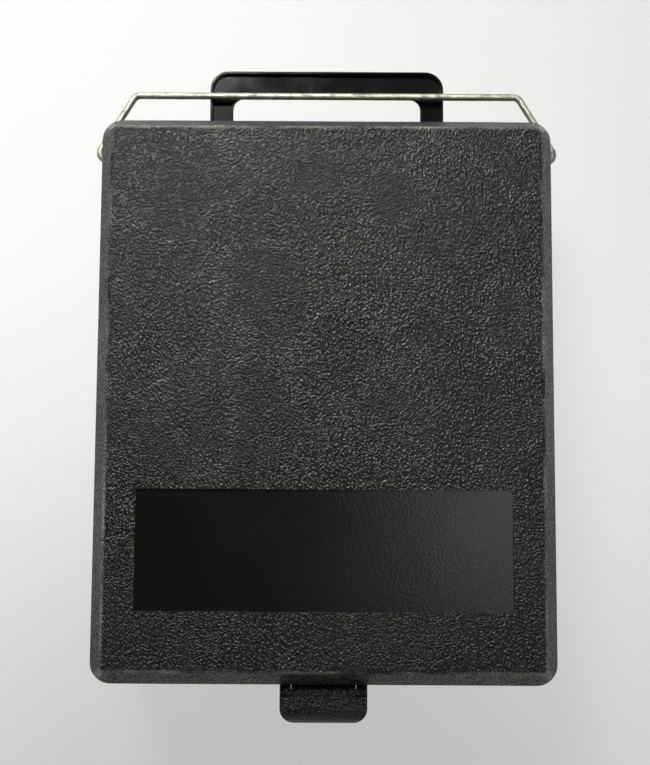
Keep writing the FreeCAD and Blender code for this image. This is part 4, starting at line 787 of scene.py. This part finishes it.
def print_arc(mesh, x, y, z, inner, outer, start, sweep):
    """Adds part of a flat ring about a point in mm, from a start angle through a sweep, in degrees."""
    turn = math.radians(start)
    way = Vector((math.cos(turn), math.sin(turn), 0))
    middle = Vector((x, y, z + INK)) * MM
    ends = [mesh.verts.new(middle + way * radius * MM) for radius in (inner, outer)]
    edge = mesh.edges.new(ends)
    steps = max(2, round(abs(sweep) / ARC_STEP))
    bmesh.ops.spin(mesh, geom=ends + [edge], cent=middle, axis=(0, 0, 1), dvec=(0, 0, 0),
                   angle=math.radians(sweep), steps=steps, use_merge=abs(sweep) >= 360)


def print_tick(mesh, x, y, z, inner, outer, angle, width):
    """Adds a short line that points away from a centre, all in mm and degrees."""
    made = bmesh.ops.create_grid(mesh, x_segments=1, y_segments=1, size=0.5)["verts"]
    bmesh.ops.scale(mesh, verts=made, vec=((outer - inner) * MM, width * MM, 1))
    bmesh.ops.translate(mesh, verts=made, vec=((inner + outer) / 2 * MM, 0, INK * MM))
    bmesh.ops.rotate(mesh, verts=made, cent=(0, 0, 0), matrix=Matrix.Rotation(math.radians(angle), 3, "Z"))
    bmesh.ops.translate(mesh, verts=made, vec=Vector((x, y, z)) * MM)


def facing_up(mesh):
    """Turns every flat mark so that its front looks up."""
    for face in mesh.faces:
        face.normal_update()
        if face.normal.z < -0.5 and len({round(v.co.z, 6) for v in face.verts}) == 1:
            face.normal_flip()


print("inks:", list(inks))

# %% [markdown]
# Numbers round the selectors
# A selector turns 150 degrees each way, so its eleven places lie 30 degrees apart, from lower left over the
# top to lower right. Each has a short line at the skirt's edge and a number further out. All black marks on
# the panel go into one mesh.

# %% Selector marks
PANEL_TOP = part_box("panel")[1].z / MM
LINE_WIDTH = 0.5
PLACES = 11
PLACE_STEP = 30
FIRST_PLACE = 240
PLACE_LINE = (16.0, 18.2)
NUMBER_REACH = 21
NUMBER_SIZE = 4.2

marks = bmesh.new()
for name in SELECTORS:
    x, y = middle_of("knob_" + name)
    for number in range(PLACES):
        angle = FIRST_PLACE - number * PLACE_STEP
        turn = math.radians(angle)
        print_tick(marks, x, y, PANEL_TOP, *PLACE_LINE, angle, LINE_WIDTH)
        print_words(marks, str(number), NUMBER_SIZE, x + NUMBER_REACH * math.cos(turn),
                    y + NUMBER_REACH * math.sin(turn), PANEL_TOP)
print("knob numbers:", len(SELECTORS) * PLACES)

# %% [markdown]
# Marks by the sliders, the sockets and the switch
# Each pin switch has a number above it and three lines for its positions. Sockets sit in a thin printed
# ring with a number beside it, and the power switch says ON and OFF.

# %% Remaining panel marks
SLIDERS = 6
SLIDER_NUMBER_UP = 19.5
SLIDER_NUMBER_SIZE = 6.0
SLIDER_STEPS = (-4, 0, 4)
SLIDER_LINE = (6.6, 9.4)
SOCKETS = ("octal", "loctal", "noval", "miniature", "twelve")
RING_GAP = 1.0
RING_WIDTH = 0.5
SOCKET_NUMBER_OUT = 3.6
SOCKET_NUMBER_UP = 6.0
SOCKET_NUMBER_SIZE = 5.0
# The row of the switch, the buttons and the lamps
SWITCH_ROW = -104
SWITCH_WORDS = (("ON", 15.5), ("OFF", -15.5))
SWITCH_SIZE = 4.5

for number in range(1, SLIDERS + 1):
    x, y = middle_of(f"slider_{number}")
    print_words(marks, str(number), SLIDER_NUMBER_SIZE, x, y + SLIDER_NUMBER_UP, PANEL_TOP)
    for step in SLIDER_STEPS:
        print_tick(marks, x, y + step, PANEL_TOP, *SLIDER_LINE, 0, LINE_WIDTH)
for number, name in enumerate(SOCKETS, 1):
    x, y = middle_of("socket_" + name)
    low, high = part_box("socket_" + name)
    reach = (high.x - low.x) / 2 / MM
    print_arc(marks, x, y, PANEL_TOP, reach + RING_GAP, reach + RING_GAP + RING_WIDTH, 0, 360)
    print_words(marks, str(number), SOCKET_NUMBER_SIZE, x - reach - SOCKET_NUMBER_OUT, y + SOCKET_NUMBER_UP,
                PANEL_TOP)
x = middle_of("toggle_lever")[0]
for words, up_by in SWITCH_WORDS:
    print_words(marks, words, SWITCH_SIZE, x, SWITCH_ROW + up_by, PANEL_TOP)
facing_up(marks)
new_piece("panel_marks", marks, inks["black"], "base", False)
print("panel marks at", round(PANEL_TOP, 1), "mm")

# %% [markdown]
# The meter dial
# The dial is cream card with a black scale, a red and a green zone and numbers from 0 to 10, read over a
# needle that swings a quarter turn about a pivot near the lower edge. The arcs are short edges spun about
# that pivot.

# %% Dial print
DIAL_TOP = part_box("meter_dial")[1].z / MM
# The needle's pivot in mm, and the arc that the needle sweeps, in degrees from the right
PIVOT = (-46.0, 58.0)
SWING_START = 45
SWING = 90
# Inner and outer radius of each ring, in mm
OUTER_ARC = (40.6, 41.1)
INNER_ARC = (33.4, 33.8)
ZONE_BAND = (34.6, 39.6)
SCALE_LINES = 50
LINE_START = 41.0
LONG_LINE = (45.0, 0.5)
SHORT_LINE = (43.2, 0.22)
LONG_EVERY = 5
NUMBER_EVERY = 10
DIAL_NUMBER_REACH = 48.6
DIAL_NUMBER_SIZE = 4.4

scale_print = bmesh.new()
for arc in (OUTER_ARC, INNER_ARC):
    print_arc(scale_print, *PIVOT, DIAL_TOP, *arc, SWING_START, SWING)
for number in range(SCALE_LINES + 1):
    angle = SWING_START + SWING - number * SWING / SCALE_LINES
    line_end, line_width = SHORT_LINE if number % LONG_EVERY else LONG_LINE
    print_tick(scale_print, *PIVOT, DIAL_TOP, LINE_START, line_end, angle, line_width)
    if number % NUMBER_EVERY == 0:
        turn = math.radians(angle)
        print_words(scale_print, str(number // LONG_EVERY), DIAL_NUMBER_SIZE,
                    PIVOT[0] + DIAL_NUMBER_REACH * math.cos(turn),
                    PIVOT[1] + DIAL_NUMBER_REACH * math.sin(turn), DIAL_TOP)
facing_up(scale_print)
new_piece("dial_scale", scale_print, inks["black"], "base", False)
print("dial printed at", round(DIAL_TOP, 1), "mm")

# %% [markdown]
# Red and green zones
# Below the scale, a red zone stands for a weak valve and a green one for a good one, with a gap between
# them. Each is a piece of its own, because each has its own ink.

# %% Dial zones
# Start and sweep of each zone, in degrees
ZONES = {"red": (92, 43), "green": (45, 39)}

for name, (start, sweep) in ZONES.items():
    zone = bmesh.new()
    print_arc(zone, *PIVOT, DIAL_TOP, *ZONE_BAND, start, sweep)
    facing_up(zone)
    new_piece(f"dial_{name}_zone", zone, inks[name], "base", False)
print("zones:", list(ZONES))

# %% Measure and finish
low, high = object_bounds()
print("dressed size in mm:", [round((b - a) / MM, 1) for a, b in zip(low, high)])
